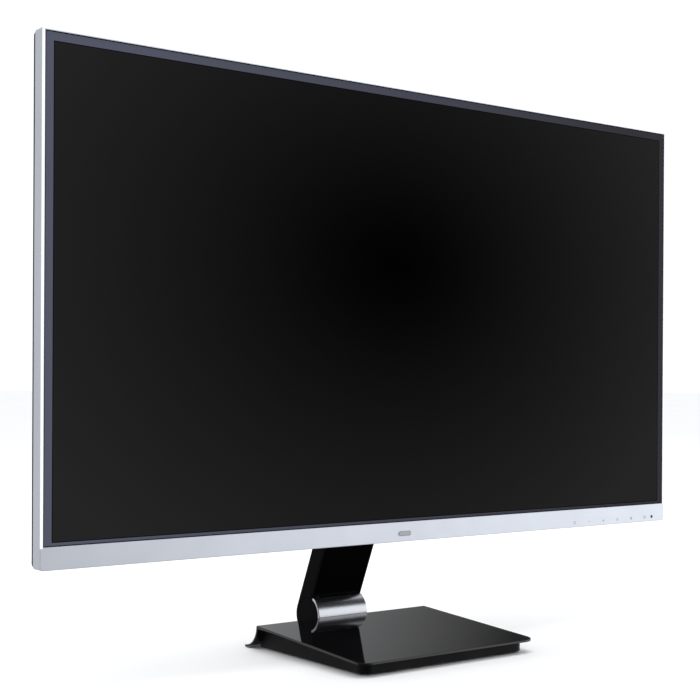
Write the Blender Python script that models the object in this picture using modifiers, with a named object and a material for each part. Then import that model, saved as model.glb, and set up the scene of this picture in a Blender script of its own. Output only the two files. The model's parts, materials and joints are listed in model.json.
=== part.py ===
"""A 27 inch desktop computer monitor on a low stand that tilts at a barrel hinge.

Metres, +Z up. The screen faces -Y. The origin is on the desk, under the middle of the object.
"""

import math

import bmesh
import bpy
from mathutils import Matrix, Vector

# Screen
ACTIVE_WIDTH = 0.5967
ACTIVE_HEIGHT = 0.3357
BORDER_SIDE = 0.0058
BORDER_TOP = 0.0052
BORDER_BOTTOM = 0.0026
PANEL_THICKNESS = 0.0014
PANEL_RECESS = 0.0005
FILM_THICKNESS = 0.0006
GUIDE_THICKNESS = 0.0030
LED_STRIP_HEIGHT = 0.0036
CHASSIS_SHEET = 0.0007

# Front bezel
RIM_WIDTH = 0.0020
CHIN_HEIGHT = 0.0156
BEZEL_DEPTH = 0.0120
BEZEL_WALL = 0.0018
BEZEL_CORNER_RADIUS = 0.0020
BEZEL_ROUNDING = 0.0005
CHIN_TO_DESK = 0.0893

# Rear cover
COVER_WALL = 0.0022
COVER_EDGE_INSET = 0.0003
DISH_DEPTH = 0.0080
BULGE_DEPTH = 0.0450
BULGE_HALF_WIDTH = 0.2220
BULGE_LOW = 0.0270
BULGE_HIGH = 0.2620
BULGE_SLOPE = 0.0300
MOUNT_SPACING = 0.1000
MOUNT_HEIGHT = 0.1680
INSERT_RADIUS = 0.0035
INSERT_BORE = 0.0020
INSERT_LENGTH = 0.0070
COVER_SCREW_X = 0.2560
COVER_SCREW_INSET = 0.0450
COVER_SCREW_SINK = 0.0032
COVER_SCREW_SEAT = 0.0018
COVER_SCREW_RIM = 0.0060
EDGE_STEPS = ((0, 0.0034, 0), (0, 0.0034, 0.0023), (0.0012, 0.0040, 0.0033), (0.0090, 0.0100, 0.0044))
BULGE_STEP = (0.0060, 0.0030)
BULGE_ROUND = (0.0040, 0.0016)
BULGE_CORNER_RADIUS = 0.0240
INSERT_SINK = 0.0002
INSERT_FLOOR = 0.0010
VENT_COUNT = 10
VENT_START = 0.0720
VENT_PITCH = 0.0100
VENT_WIDTH = 0.0030
VENT_LENGTH = 0.0280
VENT_DROP = 0.0060
VENT_DEPTH = 0.0080

# Stand
BASE_OVERHANG = 0.0610
AXIS_BEHIND_SCREEN = 0.1000
BARREL_RADIUS = 0.0169
BARREL_GAP = 0.0007
BARREL_LENGTH = 0.0500
BASE_WIDTH = 0.1730
BASE_FRONT_HEIGHT = 0.0112
BASE_CORNER_RADIUS = 0.0100
BASE_SHEET = 0.0017
DESK_GAP = 0.0003
TRAY_INSET = 0.0067
TRAY_WALL = 0.0018
TRAY_BOTTOM = 0.0015
FOOT_RADIUS = 0.0055
FOOT_MARGINS = (0.0040, 0.0060, 0.0015)
WEIGHT_THICKNESS = 0.0055
WEIGHT_HALF_WIDTH = 0.0700
WEIGHT_FRONT = 0.0200
WEIGHT_REAR = 0.0580
SLOT_MARGIN = 0.0015
SLOT_FRONT = 0.0225
SLOT_REAR = 0.0080
SLOT_TOP = 0.0060
HOLLOW_REAR = 0.0260
TRAY_REAR = 0.0130
NOTCH_HALF_WIDTH = 0.0175
NOTCH_FRONT = 0.0350
SHARP_CORNER = 0.0010
ARM_LEAN = math.radians(23.8)
ARM_WALL = 0.0020
CORE_SHEET = 0.0030
CORE_CLEARANCE = 0.0010
WEB_SHORTFALL = 0.0026
FACE_SHORTFALL = 0.0182
CROWN_CLEARANCE = 0.0077
WEB_START = 0.0150
WEB_END = 0.0005
CHEEK_FRONT = 0.0035
CHEEK_END = 0.0100
KNUCKLE_RADIUS = 0.0095
FLANGE_HALF_WIDTH = 0.0200
FLANGE_ROOT = 0.0060
FLANGE_OVERLAP = 0.0040
FLANGE_DROP = 0.0300
ARM_SCREW_X = 0.0120
ARM_SCREW_DROP = 0.0400
CROWN_RISE = 0.0580
CROWN_HALF_WIDTH = 0.0620
LEG_SHEET = 0.0030
HAT_FOOT = (0.0595, 0.0800)
HAT_FOOT_SHEET = 0.0025
HAT_STEP = 0.0010
WINDOW_HALF_WIDTH = 0.0350
WINDOW_LOW = 0.0150
WINDOW_HIGH = 0.0400

# Hinge
SHAFT_RADIUS = 0.0050
SHAFT_CLEARANCE = 0.0001
BOSS_RADIUS = 0.0075
EAR_THICKNESS = 0.0040
EAR_INNER = 0.0090
EAR_FRONT = 0.0195
EAR_REAR = 0.0135
BOSS_START = math.radians(142)
BOSS_END = math.radians(-59)
BRACKET_SHEET = 0.0020
BRACKET_HALF_WIDTH = 0.0165
BRACKET_FRONT = 0.0540
BRACKET_REAR = 0.0150
BRACKET_SCREW_X = 0.0100
BRACKET_SCREW_Y = 0.0440
BRACKET_SHANK = 0.0021
DISC_RADIUS = 0.0080
NUT_RADIUS = 0.0085
WASHER_THICKNESS = 0.0008
DISC_THICKNESS = 0.0013
CAP_THICKNESS = 0.0025
COVER_SKIN = 0.0020
CHROME_END = math.radians(199)
SHELL_START = math.radians(256)

# Screws
SCREW_HEAD_HEIGHT = 0.0016
SCREW_HEAD_RADIUS = 0.0028
SCREW_SHANK_RADIUS = 0.0014
SCREW_HOLE_RADIUS = 0.0018
CROSS_SLOT = (0.0016, 0.0003, 0.0008)

# Controls and sockets
BUTTON_PITCH = 0.01806
FIRST_BUTTON_X = 0.1901
BUTTON_NAMES = ("menu", "minus", "plus", "source", "auto", "power")
BUTTON_SIZE = (0.0090, 0.0040)
BUTTON_PROUD = 0.0007
BUTTON_TRAVEL = 0.0006
BUTTON_SETBACK = 0.0065
BUTTON_ROUNDING = 0.0003
KEY_FLANGE = 0.0008
SWITCH_HEIGHT = 0.0016
SWITCH_HALF_WIDTH = 0.0020
STRIP_ENDS = (0.0090, 0.0120)
STRIP_REACH = (0.0030, 0.0035)
LIGHT_PLAY = 0.0002
LIGHT_OFFSET = 0.0095
LIGHT_RADIUS = 0.0012
LIGHT_HEIGHT = 0.0041
BADGE_SIZE = (0.0120, 0.0032)
BADGE_HEIGHT = 0.0064
BADGE_THICKNESS = 0.0005
BADGE_PROUD = 0.0002
BOARD_THICKNESS = 0.0016
SOCKET_LENGTH = 0.0120
SOCKET_SHELL = 0.0008
SOCKET_DROP = 0.0026
POWER_BORE = 0.0032
POWER_PIN = 0.0011
POWER_PIN_LENGTH = 0.0100
AUDIO_BORE = 0.0018
BORE_LENGTH = 0.0120
MOUTH_DEPTH = 0.0095
PORTS_X = -0.1300
PORTS_HALF_WIDTH = 0.0520
RECESS_WALL = 0.0016
RECESS_ROOF = 0.0800
RECESS_LIFT = 0.0030
RECESS_SINK = 0.0006
SOCKETS = (
    ("power_socket", -0.0360, (0.0100, 0.0110)),
    ("audio_socket", -0.0150, (0.0080, 0.0080)),
    ("hdmi_socket", 0.0060, (0.0166, 0.0072)),
    ("displayport_socket", 0.0320, (0.0184, 0.0072)),
)

# Boards and cable
MAIN_BOARD_SETBACK = 0.0062
MAIN_BOARD_HALF_WIDTH = 0.0480
MAIN_BOARD_HEIGHT = 0.0900
CHIP = (0.0140, 0.0350, 0.0630, 0.0025)
HEAT_SINK = (0.0120, 0.0370, 0.0610, 0.0080)
POWER_BOARD_X = (0.0880, 0.1780)
POWER_BOARD_Z = (-0.0500, 0.0300)
POWER_BOARD_LIFT = 0.0050
COIL = (0.1100, -0.0300, 0.0090, 0.0120)
CAPACITOR = (0.1350, 0.0100, 0.0050, 0.0140)
CAPACITOR_PITCH = 0.0140
TIMING_BOARD_HALF_WIDTH = 0.0500
TIMING_BOARD_Z = (-0.0100, 0.0250)
TIMING_BOARD_LIFT = 0.0040
RIBBON_X = (-0.1200, 0.0200)
RIBBON_LIFT = (0.0009, 0.0013)
RIBBON_Z = (0.0750, 0.0910)

# Allowances: the gap between pieces, how far joined shapes lap, how far a cutter runs past
GAP = 0.0003
LAP = 0.0002
OVERCUT = 0.0100
ROUND_SIDES = 48
SMALL_SIDES = 24

# Places that follow from the sizes above
TOTAL_DEPTH = BASE_OVERHANG + AXIS_BEHIND_SCREEN + BARREL_RADIUS
FRONT_Y = BASE_OVERHANG - TOTAL_DEPTH / 2
BEZEL_BACK_Y = FRONT_Y + BEZEL_DEPTH
AXIS_Y = FRONT_Y + AXIS_BEHIND_SCREEN
COVE_RADIUS = BARREL_RADIUS + BARREL_GAP
AXIS_Z = COVE_RADIUS + BASE_SHEET + DESK_GAP
PLATE_FRONT_Y = FRONT_Y - BASE_OVERHANG
PLATE_REAR_Y = AXIS_Y - COVE_RADIUS
PANEL_HALF_WIDTH = ACTIVE_WIDTH / 2 + BORDER_SIDE
PANEL_LOW_Z = CHIN_TO_DESK + CHIN_HEIGHT
PANEL_HIGH_Z = PANEL_LOW_Z + BORDER_BOTTOM + ACTIVE_HEIGHT + BORDER_TOP
HEAD_HALF_WIDTH = PANEL_HALF_WIDTH + RIM_WIDTH
HEAD_TOP_Z = PANEL_HIGH_Z + RIM_WIDTH
PANEL_FRONT_Y = FRONT_Y + PANEL_RECESS
FILM_FRONT_Y = PANEL_FRONT_Y + PANEL_THICKNESS + GAP
GUIDE_FRONT_Y = FILM_FRONT_Y + FILM_THICKNESS + GAP
CHASSIS_INNER_Y = GUIDE_FRONT_Y + GUIDE_THICKNESS + GAP
CHASSIS_BACK_Y = CHASSIS_INNER_Y + CHASSIS_SHEET
BULGE_BACK_Y = FRONT_Y + BULGE_DEPTH
MOUNT_Z = CHIN_TO_DESK + MOUNT_HEIGHT
HAT_FRONT_Y = BULGE_BACK_Y - INSERT_LENGTH - CORE_SHEET - 2 * GAP
FLANGE_FRONT_Y = HAT_FRONT_Y + CORE_SHEET + GAP
WEB_BACK = BARREL_RADIUS - ARM_WALL - CORE_CLEARANCE
WEB_CENTRE_Y = AXIS_Y + (WEB_BACK - CORE_SHEET / 2) * math.cos(ARM_LEAN)
ARM_REACH = (WEB_CENTRE_Y - FLANGE_FRONT_Y - CORE_SHEET / 2) / math.sin(ARM_LEAN) - WEB_SHORTFALL
ARM_FACE_REACH = ARM_REACH - FACE_SHORTFALL
ARM_TOP_Z = AXIS_Z + ARM_REACH * math.cos(ARM_LEAN) + BARREL_RADIUS * math.sin(ARM_LEAN)
CROWN_LOW_Z = ARM_TOP_Z + CROWN_CLEARANCE
EAR_OUTER = EAR_INNER + EAR_THICKNESS
KNUCKLE_INNER = EAR_OUTER + DISC_THICKNESS + 2 * GAP
KNUCKLE_OUTER = KNUCKLE_INNER + CORE_SHEET
CAP_INNER = BARREL_LENGTH / 2 - CAP_THICKNESS
TRAY_REAR_Y = AXIS_Y - TRAY_REAR
TRAY_FLOOR = TRAY_BOTTOM + TRAY_WALL
KEY_FLANGE_TOP = CHIN_TO_DESK + BEZEL_WALL + GAP + KEY_FLANGE
AXIS = Vector((0, AXIS_Y, AXIS_Z))


def clear_scene():
    for obj in list(bpy.data.objects):
        bpy.data.objects.remove(obj, do_unlink=True)


clear_scene()
PARTS = bpy.data.collections.new("computer_monitor")
CUTTERS = bpy.data.collections.new("cutters")
bpy.context.scene.collection.children.link(PARTS)
bpy.context.scene.collection.children.link(CUTTERS)


# Finishes

def finish(name, colour, roughness, metallic):
    made = bpy.data.materials.new(name)
    made.use_nodes = True
    shader = made.node_tree.nodes["Principled BSDF"]
    shader.inputs["Base Color"].default_value = (*colour, 1)
    shader.inputs["Roughness"].default_value = roughness
    shader.inputs["Metallic"].default_value = metallic
    return made


SILVER = finish("satin_silver", (0.62, 0.64, 0.67), 0.34, 0.7)
GLOSS_BLACK = finish("gloss_black", (0.010, 0.010, 0.012), 0.08, 0)
TEXTURED_BLACK = finish("textured_black", (0.018, 0.018, 0.020), 0.55, 0)
CHROME = finish("brushed_chrome", (0.72, 0.73, 0.75), 0.16, 1)
STEEL = finish("steel", (0.45, 0.46, 0.48), 0.35, 1)
BRASS = finish("brass", (0.70, 0.52, 0.25), 0.3, 1)
RUBBER = finish("rubber", (0.02, 0.02, 0.02), 0.85, 0)
SCREEN = finish("screen", (0.006, 0.006, 0.007), 0.25, 0)
CLEAR = finish("clear_acrylic", (0.85, 0.88, 0.90), 0.1, 0)
FILM = finish("white_film", (0.85, 0.85, 0.83), 0.5, 0)
BOARD = finish("circuit_board", (0.03, 0.16, 0.07), 0.4, 0)
RIBBON = finish("ribbon", (0.75, 0.75, 0.70), 0.5, 0)


# Helpers: meshes in world places, objects, cuts

def box_mesh(low, high):
    size = Vector(high) - Vector(low)
    centre = (Vector(high) + Vector(low)) / 2
    shape = bmesh.new()
    bmesh.ops.create_cube(shape, size=1, matrix=Matrix.Translation(centre) @ Matrix.Diagonal((*size, 1)))
    return to_mesh(shape)


def cylinder_mesh(centre, axis, radius, length, sides=ROUND_SIDES):
    turn = Vector((0, 0, 1)).rotation_difference(Vector(axis)).to_matrix().to_4x4()
    shape = bmesh.new()
    bmesh.ops.create_cone(
        shape,
        cap_ends=True,
        segments=sides,
        radius1=radius,
        radius2=radius,
        depth=length,
        matrix=Matrix.Translation(centre) @ turn,
    )
    return to_mesh(shape)


def to_mesh(shape):
    mesh = bpy.data.meshes.new("shape")
    shape.to_mesh(mesh)
    shape.free()
    return mesh


def outline_mesh(points, thickness, frame):
    """A flat closed outline made thickness deep, centred on its plane, which frame places."""
    curve = bpy.data.curves.new("outline", "CURVE")
    curve.dimensions = "2D"
    curve.fill_mode = "BOTH"
    curve.extrude = thickness / 2
    spline = curve.splines.new("POLY")
    spline.points.add(len(points) - 1)
    for point, (across, up) in zip(spline.points, points):
        point.co = (across, up, 0, 1)
    spline.use_cyclic_u = True
    guide = bpy.data.objects.new("outline", curve)
    CUTTERS.objects.link(guide)
    graph = bpy.context.evaluated_depsgraph_get()
    mesh = bpy.data.meshes.new_from_object(guide.evaluated_get(graph))
    bpy.data.objects.remove(guide, do_unlink=True)
    shape = bmesh.new()
    shape.from_mesh(mesh)
    bmesh.ops.remove_doubles(shape, verts=shape.verts, dist=1e-6)
    bmesh.ops.recalc_face_normals(shape, faces=shape.faces)
    shape.transform(frame)
    shape.to_mesh(mesh)
    shape.free()
    return mesh


def side_frame(x):
    """Puts an outline's (across, up) on world (Y, Z), and its thickness along X."""
    return Matrix(((0, 0, 1, x), (1, 0, 0, 0), (0, 1, 0, 0), (0, 0, 0, 1)))


def back_frame(y):
    """Puts an outline's (across, up) on world (X, Z), and its thickness along Y."""
    return Matrix(((1, 0, 0, 0), (0, 0, -1, y), (0, 1, 0, 0), (0, 0, 0, 1)))


def flat_frame(z):
    """Puts an outline's (across, up) on world (X, Y), and its thickness along Z."""
    return Matrix.Translation((0, 0, z))


def side_prism(points, x_low, x_high):
    return outline_mesh(points, x_high - x_low, side_frame((x_low + x_high) / 2))


def arc(centre, radius, start, end, steps):
    found = []
    for i in range(steps + 1):
        angle = start + (end - start) * i / steps
        found.append((centre[0] + radius * math.cos(angle), centre[1] + radius * math.sin(angle)))
    return found


def rounded_outline(low, high, radii, steps=6):
    """A rectangle from low to high. radii are those of its corners, anticlockwise from low."""
    corners = (
        (low[0], low[1], 1, 1, math.pi),
        (high[0], low[1], -1, 1, 1.5 * math.pi),
        (high[0], high[1], -1, -1, 0),
        (low[0], high[1], 1, -1, 0.5 * math.pi),
    )
    points = []
    for (x, y, inward_x, inward_y, start), radius in zip(corners, radii):
        centre = (x + inward_x * radius, y + inward_y * radius)
        points += arc(centre, radius, start, start + math.pi / 2, steps) if radius else [(x, y)]
    return points


def part(name, mesh, material, carrier=None):
    mesh.name = name
    mesh.materials.clear()
    mesh.materials.append(material)
    obj = bpy.data.objects.new(name, mesh)
    PARTS.objects.link(obj)
    mesh.shade_smooth()
    mesh.set_sharp_from_angle(angle=math.radians(35))
    if carrier:
        obj.parent = carrier
        obj.matrix_parent_inverse = carrier.matrix_world.inverted()
    return obj


def helper(name, mesh):
    obj = bpy.data.objects.new(name, mesh)
    CUTTERS.objects.link(obj)
    obj.hide_render = True
    obj.display_type = "WIRE"
    return obj


def combine(obj, name, mesh, operation):
    other = helper(f"{obj.name}_{name}", mesh)
    made = obj.modifiers.new(name, "BOOLEAN")
    made.operation = operation
    made.object = other
    return other


def cut(obj, name, mesh):
    return combine(obj, name, mesh, "DIFFERENCE")


def join(obj, name, mesh):
    return combine(obj, name, mesh, "UNION")


def soften(obj, width, segments=2):
    """Rounds the sharp edges. It goes on before the cuts."""
    made = obj.modifiers.new("soften", "BEVEL")
    made.width = width
    made.segments = segments
    made.limit_method = "ANGLE"
    made.angle_limit = math.radians(50)
    made.use_clamp_overlap = True
    return obj


def tilt_carrier():
    empty = bpy.data.objects.new("tilt_axis", None)
    empty.location = AXIS
    PARTS.objects.link(empty)
    bpy.context.view_layer.update()
    return empty


TILT = tilt_carrier()


def on_arm(mesh):
    """From arm places, where Y runs back from the arm's front face and Z runs up it, to the world."""
    mesh.transform(Matrix.Translation(AXIS) @ Matrix.Rotation(ARM_LEAN, 4, "X"))
    return mesh


# Stand

def plate_under(y):
    """Height of the underside of the sloping base plate."""
    share = (y - PLATE_FRONT_Y) / (PLATE_REAR_Y - PLATE_FRONT_Y)
    return BASE_FRONT_HEIGHT + share * (AXIS_Z - BASE_FRONT_HEIGHT) - BASE_SHEET


def make_base_plate():
    """One bent sheet: a sloping deck, a sharp rear edge, and a cove that cradles the barrel."""
    centre = (AXIS_Y, AXIS_Z)
    outer = COVE_RADIUS + BASE_SHEET
    meet = math.pi + math.asin(BASE_SHEET / outer)
    points = [(PLATE_FRONT_Y, BASE_FRONT_HEIGHT)]
    points += arc(centre, COVE_RADIUS, math.pi, 1.5 * math.pi, 12)
    points += arc(centre, outer, 1.5 * math.pi, meet, 12)
    points += [(PLATE_FRONT_Y, BASE_FRONT_HEIGHT - BASE_SHEET)]
    plate = part("base_plate", side_prism(points, -BASE_WIDTH / 2, BASE_WIDTH / 2), GLOSS_BLACK)
    for side in (-1, 1):
        inner = (side * (BASE_WIDTH / 2 - BASE_CORNER_RADIUS), PLATE_FRONT_Y + BASE_CORNER_RADIUS)
        far = (side * (BASE_WIDTH / 2 + OVERCUT), PLATE_FRONT_Y - OVERCUT)
        start = 1.5 * math.pi
        bow = arc(inner, BASE_CORNER_RADIUS, start, start + side * math.pi / 2, 8)
        corner = bow + [(far[0], inner[1]), far, (inner[0], far[1])]
        cut(plate, f"corner_{side + 1}", outline_mesh(corner, 6 * OVERCUT, flat_frame(OVERCUT)))
    slot_low = (-EAR_OUTER - SLOT_MARGIN, AXIS_Y - SLOT_FRONT, -OVERCUT)
    slot_high = (EAR_OUTER + SLOT_MARGIN, AXIS_Y - SLOT_REAR, AXIS_Z - SLOT_TOP)
    cut(plate, "bracket_slot", box_mesh(slot_low, slot_high))
    return plate


def tray_outline():
    low = (-BASE_WIDTH / 2 + TRAY_INSET, PLATE_FRONT_Y + TRAY_INSET)
    high = (BASE_WIDTH / 2 - TRAY_INSET, TRAY_REAR_Y)
    radius = BASE_CORNER_RADIUS - TRAY_WALL
    return rounded_outline(low, high, (radius, radius, SHARP_CORNER, SHARP_CORNER))


def make_base_tray():
    """The moulded tray that closes the base from below, set back from the plate's edge."""
    block = outline_mesh(tray_outline(), AXIS_Z, flat_frame(TRAY_BOTTOM + AXIS_Z / 2))
    tray = part("base_tray", block, TEXTURED_BLACK)
    far = 3 * OVERCUT
    slope = [
        (PLATE_FRONT_Y - far, plate_under(PLATE_FRONT_Y - far) - GAP),
        (AXIS_Y + far, plate_under(AXIS_Y + far) - GAP),
        (AXIS_Y + far, 10 * OVERCUT),
        (PLATE_FRONT_Y - far, 10 * OVERCUT),
    ]
    cut(tray, "under_plate", side_prism(slope, -BASE_WIDTH, BASE_WIDTH))
    cove = cylinder_mesh(AXIS, (1, 0, 0), COVE_RADIUS + BASE_SHEET + GAP, BASE_WIDTH * 2, 64)
    cut(tray, "under_cove", cove)
    low = (-BASE_WIDTH / 2 + TRAY_INSET + TRAY_WALL, PLATE_FRONT_Y + TRAY_INSET + TRAY_WALL)
    high = (BASE_WIDTH / 2 - TRAY_INSET - TRAY_WALL, AXIS_Y - HOLLOW_REAR)
    radius = BASE_CORNER_RADIUS - 2 * TRAY_WALL
    hollow = rounded_outline(low, high, (radius, radius, SHARP_CORNER, SHARP_CORNER))
    tall = 5 * OVERCUT
    cut(tray, "hollow", outline_mesh(hollow, tall, flat_frame(TRAY_FLOOR + tall / 2)))
    notch_low = (-NOTCH_HALF_WIDTH, AXIS_Y - NOTCH_FRONT, TRAY_FLOOR)
    notch = box_mesh(notch_low, (NOTCH_HALF_WIDTH, AXIS_Y, tall))
    cut(tray, "bracket_notch", notch)
    return tray


def make_base_weight():
    low = (-WEIGHT_HALF_WIDTH, PLATE_FRONT_Y + WEIGHT_FRONT, TRAY_FLOOR + GAP)
    high = (WEIGHT_HALF_WIDTH, AXIS_Y - WEIGHT_REAR, TRAY_FLOOR + GAP + WEIGHT_THICKNESS)
    return part("base_weight", box_mesh(low, high), STEEL)


def make_feet():
    side_margin, front_margin, rear_margin = FOOT_MARGINS
    x = BASE_WIDTH / 2 - TRAY_INSET - FOOT_RADIUS - side_margin
    front = PLATE_FRONT_Y + TRAY_INSET + FOOT_RADIUS + front_margin
    rear = TRAY_REAR_Y - FOOT_RADIUS - rear_margin
    height = TRAY_BOTTOM - GAP
    places = ((-x, front), (x, front), (-x, rear), (x, rear))
    for i, (foot_x, foot_y) in enumerate(places, 1):
        centre = (foot_x, foot_y, height / 2)
        part(f"rubber_foot_{i}", cylinder_mesh(centre, (0, 0, 1), FOOT_RADIUS, height, SMALL_SIDES), RUBBER)


def make_hinge_bracket():
    """The fixed steel bracket: a foot screwed into the tray, and two ears bored for the shaft."""
    foot_low = TRAY_FLOOR + GAP
    foot_top = foot_low + BRACKET_SHEET
    foot = box_mesh(
        (-BRACKET_HALF_WIDTH, AXIS_Y - BRACKET_FRONT, foot_low),
        (BRACKET_HALF_WIDTH, AXIS_Y - BRACKET_REAR, foot_top),
    )
    bracket = part("hinge_bracket", foot, STEEL)
    front_base = (AXIS_Y - EAR_FRONT, foot_low)
    rear_base = (AXIS_Y - EAR_REAR, foot_low)
    boss = arc((AXIS_Y, AXIS_Z), BOSS_RADIUS, BOSS_START, BOSS_END, 24)
    outline = [front_base] + boss + [rear_base]
    for side, name in ((-1, "left_ear"), (1, "right_ear")):
        x_low, x_high = sorted((side * EAR_INNER, side * EAR_OUTER))
        join(bracket, name, side_prism(outline, x_low, x_high))
    bore = cylinder_mesh(AXIS, (1, 0, 0), SHAFT_RADIUS + SHAFT_CLEARANCE, 6 * OVERCUT)
    cut(bracket, "bore", bore)
    for i, x in enumerate((-BRACKET_SCREW_X, BRACKET_SCREW_X), 1):
        place = (x, AXIS_Y - BRACKET_SCREW_Y, foot_low)
        cut(bracket, f"screw_hole_{i}", screw_hole(place, (0, 0, 1)))
        make_screw(f"bracket_screw_{i}", (x, place[1], foot_top + GAP), (0, 0, 1), BRACKET_SHANK)
    return bracket


def screw_hole(place, axis):
    return cylinder_mesh(place, axis, SCREW_HOLE_RADIUS, 2 * OVERCUT, SMALL_SIDES)


def make_screw(name, seat, axis, shank_length, carrier=None):
    """A pan head screw. Its head sits on seat, and its shank runs the other way from axis."""
    axis = Vector(axis)
    seat = Vector(seat)
    middle = seat + axis * SCREW_HEAD_HEIGHT / 2
    head = cylinder_mesh(middle, axis, SCREW_HEAD_RADIUS, SCREW_HEAD_HEIGHT, SMALL_SIDES)
    screw = part(name, head, STEEL, carrier)
    reach = shank_length + 2 * LAP
    centre = seat - axis * (shank_length - 2 * LAP) / 2
    join(screw, "shank", cylinder_mesh(centre, axis, SCREW_SHANK_RADIUS, reach, SMALL_SIDES))
    recess = seat + axis * SCREW_HEAD_HEIGHT
    cut(screw, "cross_a", cross_slot(recess, axis, 0))
    cut(screw, "cross_b", cross_slot(recess, axis, math.pi / 2))
    return screw


def cross_slot(place, axis, turn):
    corner = Vector(CROSS_SLOT)
    slot = box_mesh(-corner, corner)
    aim = Vector((0, 0, 1)).rotation_difference(axis).to_matrix().to_4x4()
    slot.transform(Matrix.Translation(place) @ aim @ Matrix.Rotation(turn, 4, "Z"))
    return slot


# Hinge and arm

def along_axis(x_low, x_high, radius, sides=ROUND_SIDES):
    centre = AXIS + Vector(((x_low + x_high) / 2, 0, 0))
    return cylinder_mesh(centre, (1, 0, 0), radius, x_high - x_low, sides)


def make_ring(name, x_low, x_high, radius, material, sides=ROUND_SIDES):
    ring = part(name, along_axis(x_low, x_high, radius, sides), material, TILT)
    cut(ring, "bore", along_axis(x_low - OVERCUT, x_high + OVERCUT, SHAFT_RADIUS + GAP))
    return ring


def make_shaft_stack():
    """The shaft with its head on the left, and the discs, washer and nut that set the friction."""
    end = CAP_INNER - GAP
    shaft = part("hinge_shaft", along_axis(-end, end, SHAFT_RADIUS), STEEL, TILT)
    join(shaft, "head", along_axis(-end, -KNUCKLE_OUTER - GAP, DISC_RADIUS))
    disc_low = EAR_OUTER + GAP
    disc_high = disc_low + DISC_THICKNESS
    make_ring("friction_disc_left", -disc_high, -disc_low, DISC_RADIUS, BRASS)
    make_ring("friction_disc_right", disc_low, disc_high, DISC_RADIUS, BRASS)
    washer_low = KNUCKLE_OUTER + GAP
    washer_high = washer_low + WASHER_THICKNESS
    make_ring("spring_washer", washer_low, washer_high, NUT_RADIUS, STEEL)
    make_ring("hinge_nut", washer_high + GAP, end, NUT_RADIUS, STEEL, 6)


def sector(radius, start, end, x_low, x_high):
    """A solid wedge of the barrel between two angles, counted from +Y towards +Z."""
    centre = (AXIS_Y, AXIS_Z)
    return side_prism([centre] + arc(centre, radius, start, end, 24), x_low, x_high)


def barrel_band(start, end):
    """The outline of a stretch of barrel wall between two angles."""
    centre = (AXIS_Y, AXIS_Z)
    inner = BARREL_RADIUS - COVER_SKIN
    return arc(centre, BARREL_RADIUS, start, end, 24) + arc(centre, inner, end, start, 24)


def make_hinge_cover():
    """The bright strip that wraps the front of the barrel, from the arm's face to under the deck."""
    start = math.pi / 2 + ARM_LEAN + GAP / BARREL_RADIUS
    half = BARREL_LENGTH / 2
    return part("hinge_cover", side_prism(barrel_band(start, CHROME_END), -half, half), CHROME, TILT)


def make_end_caps():
    radius = BARREL_RADIUS - COVER_SKIN - GAP
    half = BARREL_LENGTH / 2
    part("end_cap_left", along_axis(-half, -CAP_INNER, radius), GLOSS_BLACK, TILT)
    part("end_cap_right", along_axis(CAP_INNER, half, radius), GLOSS_BLACK, TILT)


def make_arm_rear_cover():
    """The arm's moulded back: a channel up the arm that ends in the rear of the barrel."""
    half = BARREL_LENGTH / 2
    slab = on_arm(box_mesh((-half, 0, 0), (half, BARREL_RADIUS, ARM_REACH)))
    arm = part("arm_rear_cover", slab, GLOSS_BLACK, TILT)
    join(arm, "barrel", along_axis(-half, half, BARREL_RADIUS, 64))
    inside = half - ARM_WALL
    past = half + OVERCUT
    in_front = -3 * OVERCUT
    above = 30 * OVERCUT
    channel = on_arm(box_mesh((-inside, in_front, 0), (inside, BARREL_RADIUS - ARM_WALL, above)))
    cut(arm, "channel", channel)
    face = on_arm(box_mesh((-past, in_front, BARREL_RADIUS), (past, ARM_WALL + GAP, above)))
    cut(arm, "face_seat", face)
    cut(arm, "barrel_bore", along_axis(-past, past, BARREL_RADIUS - COVER_SKIN, 64))
    open_start = math.pi / 2 + ARM_LEAN
    cut(arm, "front_mouth", sector(3 * OVERCUT, open_start, SHELL_START, -past, past))
    return arm


def make_arm_front_cover():
    half = BARREL_LENGTH / 2
    low = BARREL_RADIUS + GAP
    face = on_arm(box_mesh((-half, 0, low), (half, ARM_WALL, ARM_FACE_REACH)))
    return part("arm_front_cover", face, GLOSS_BLACK, TILT)


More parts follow.
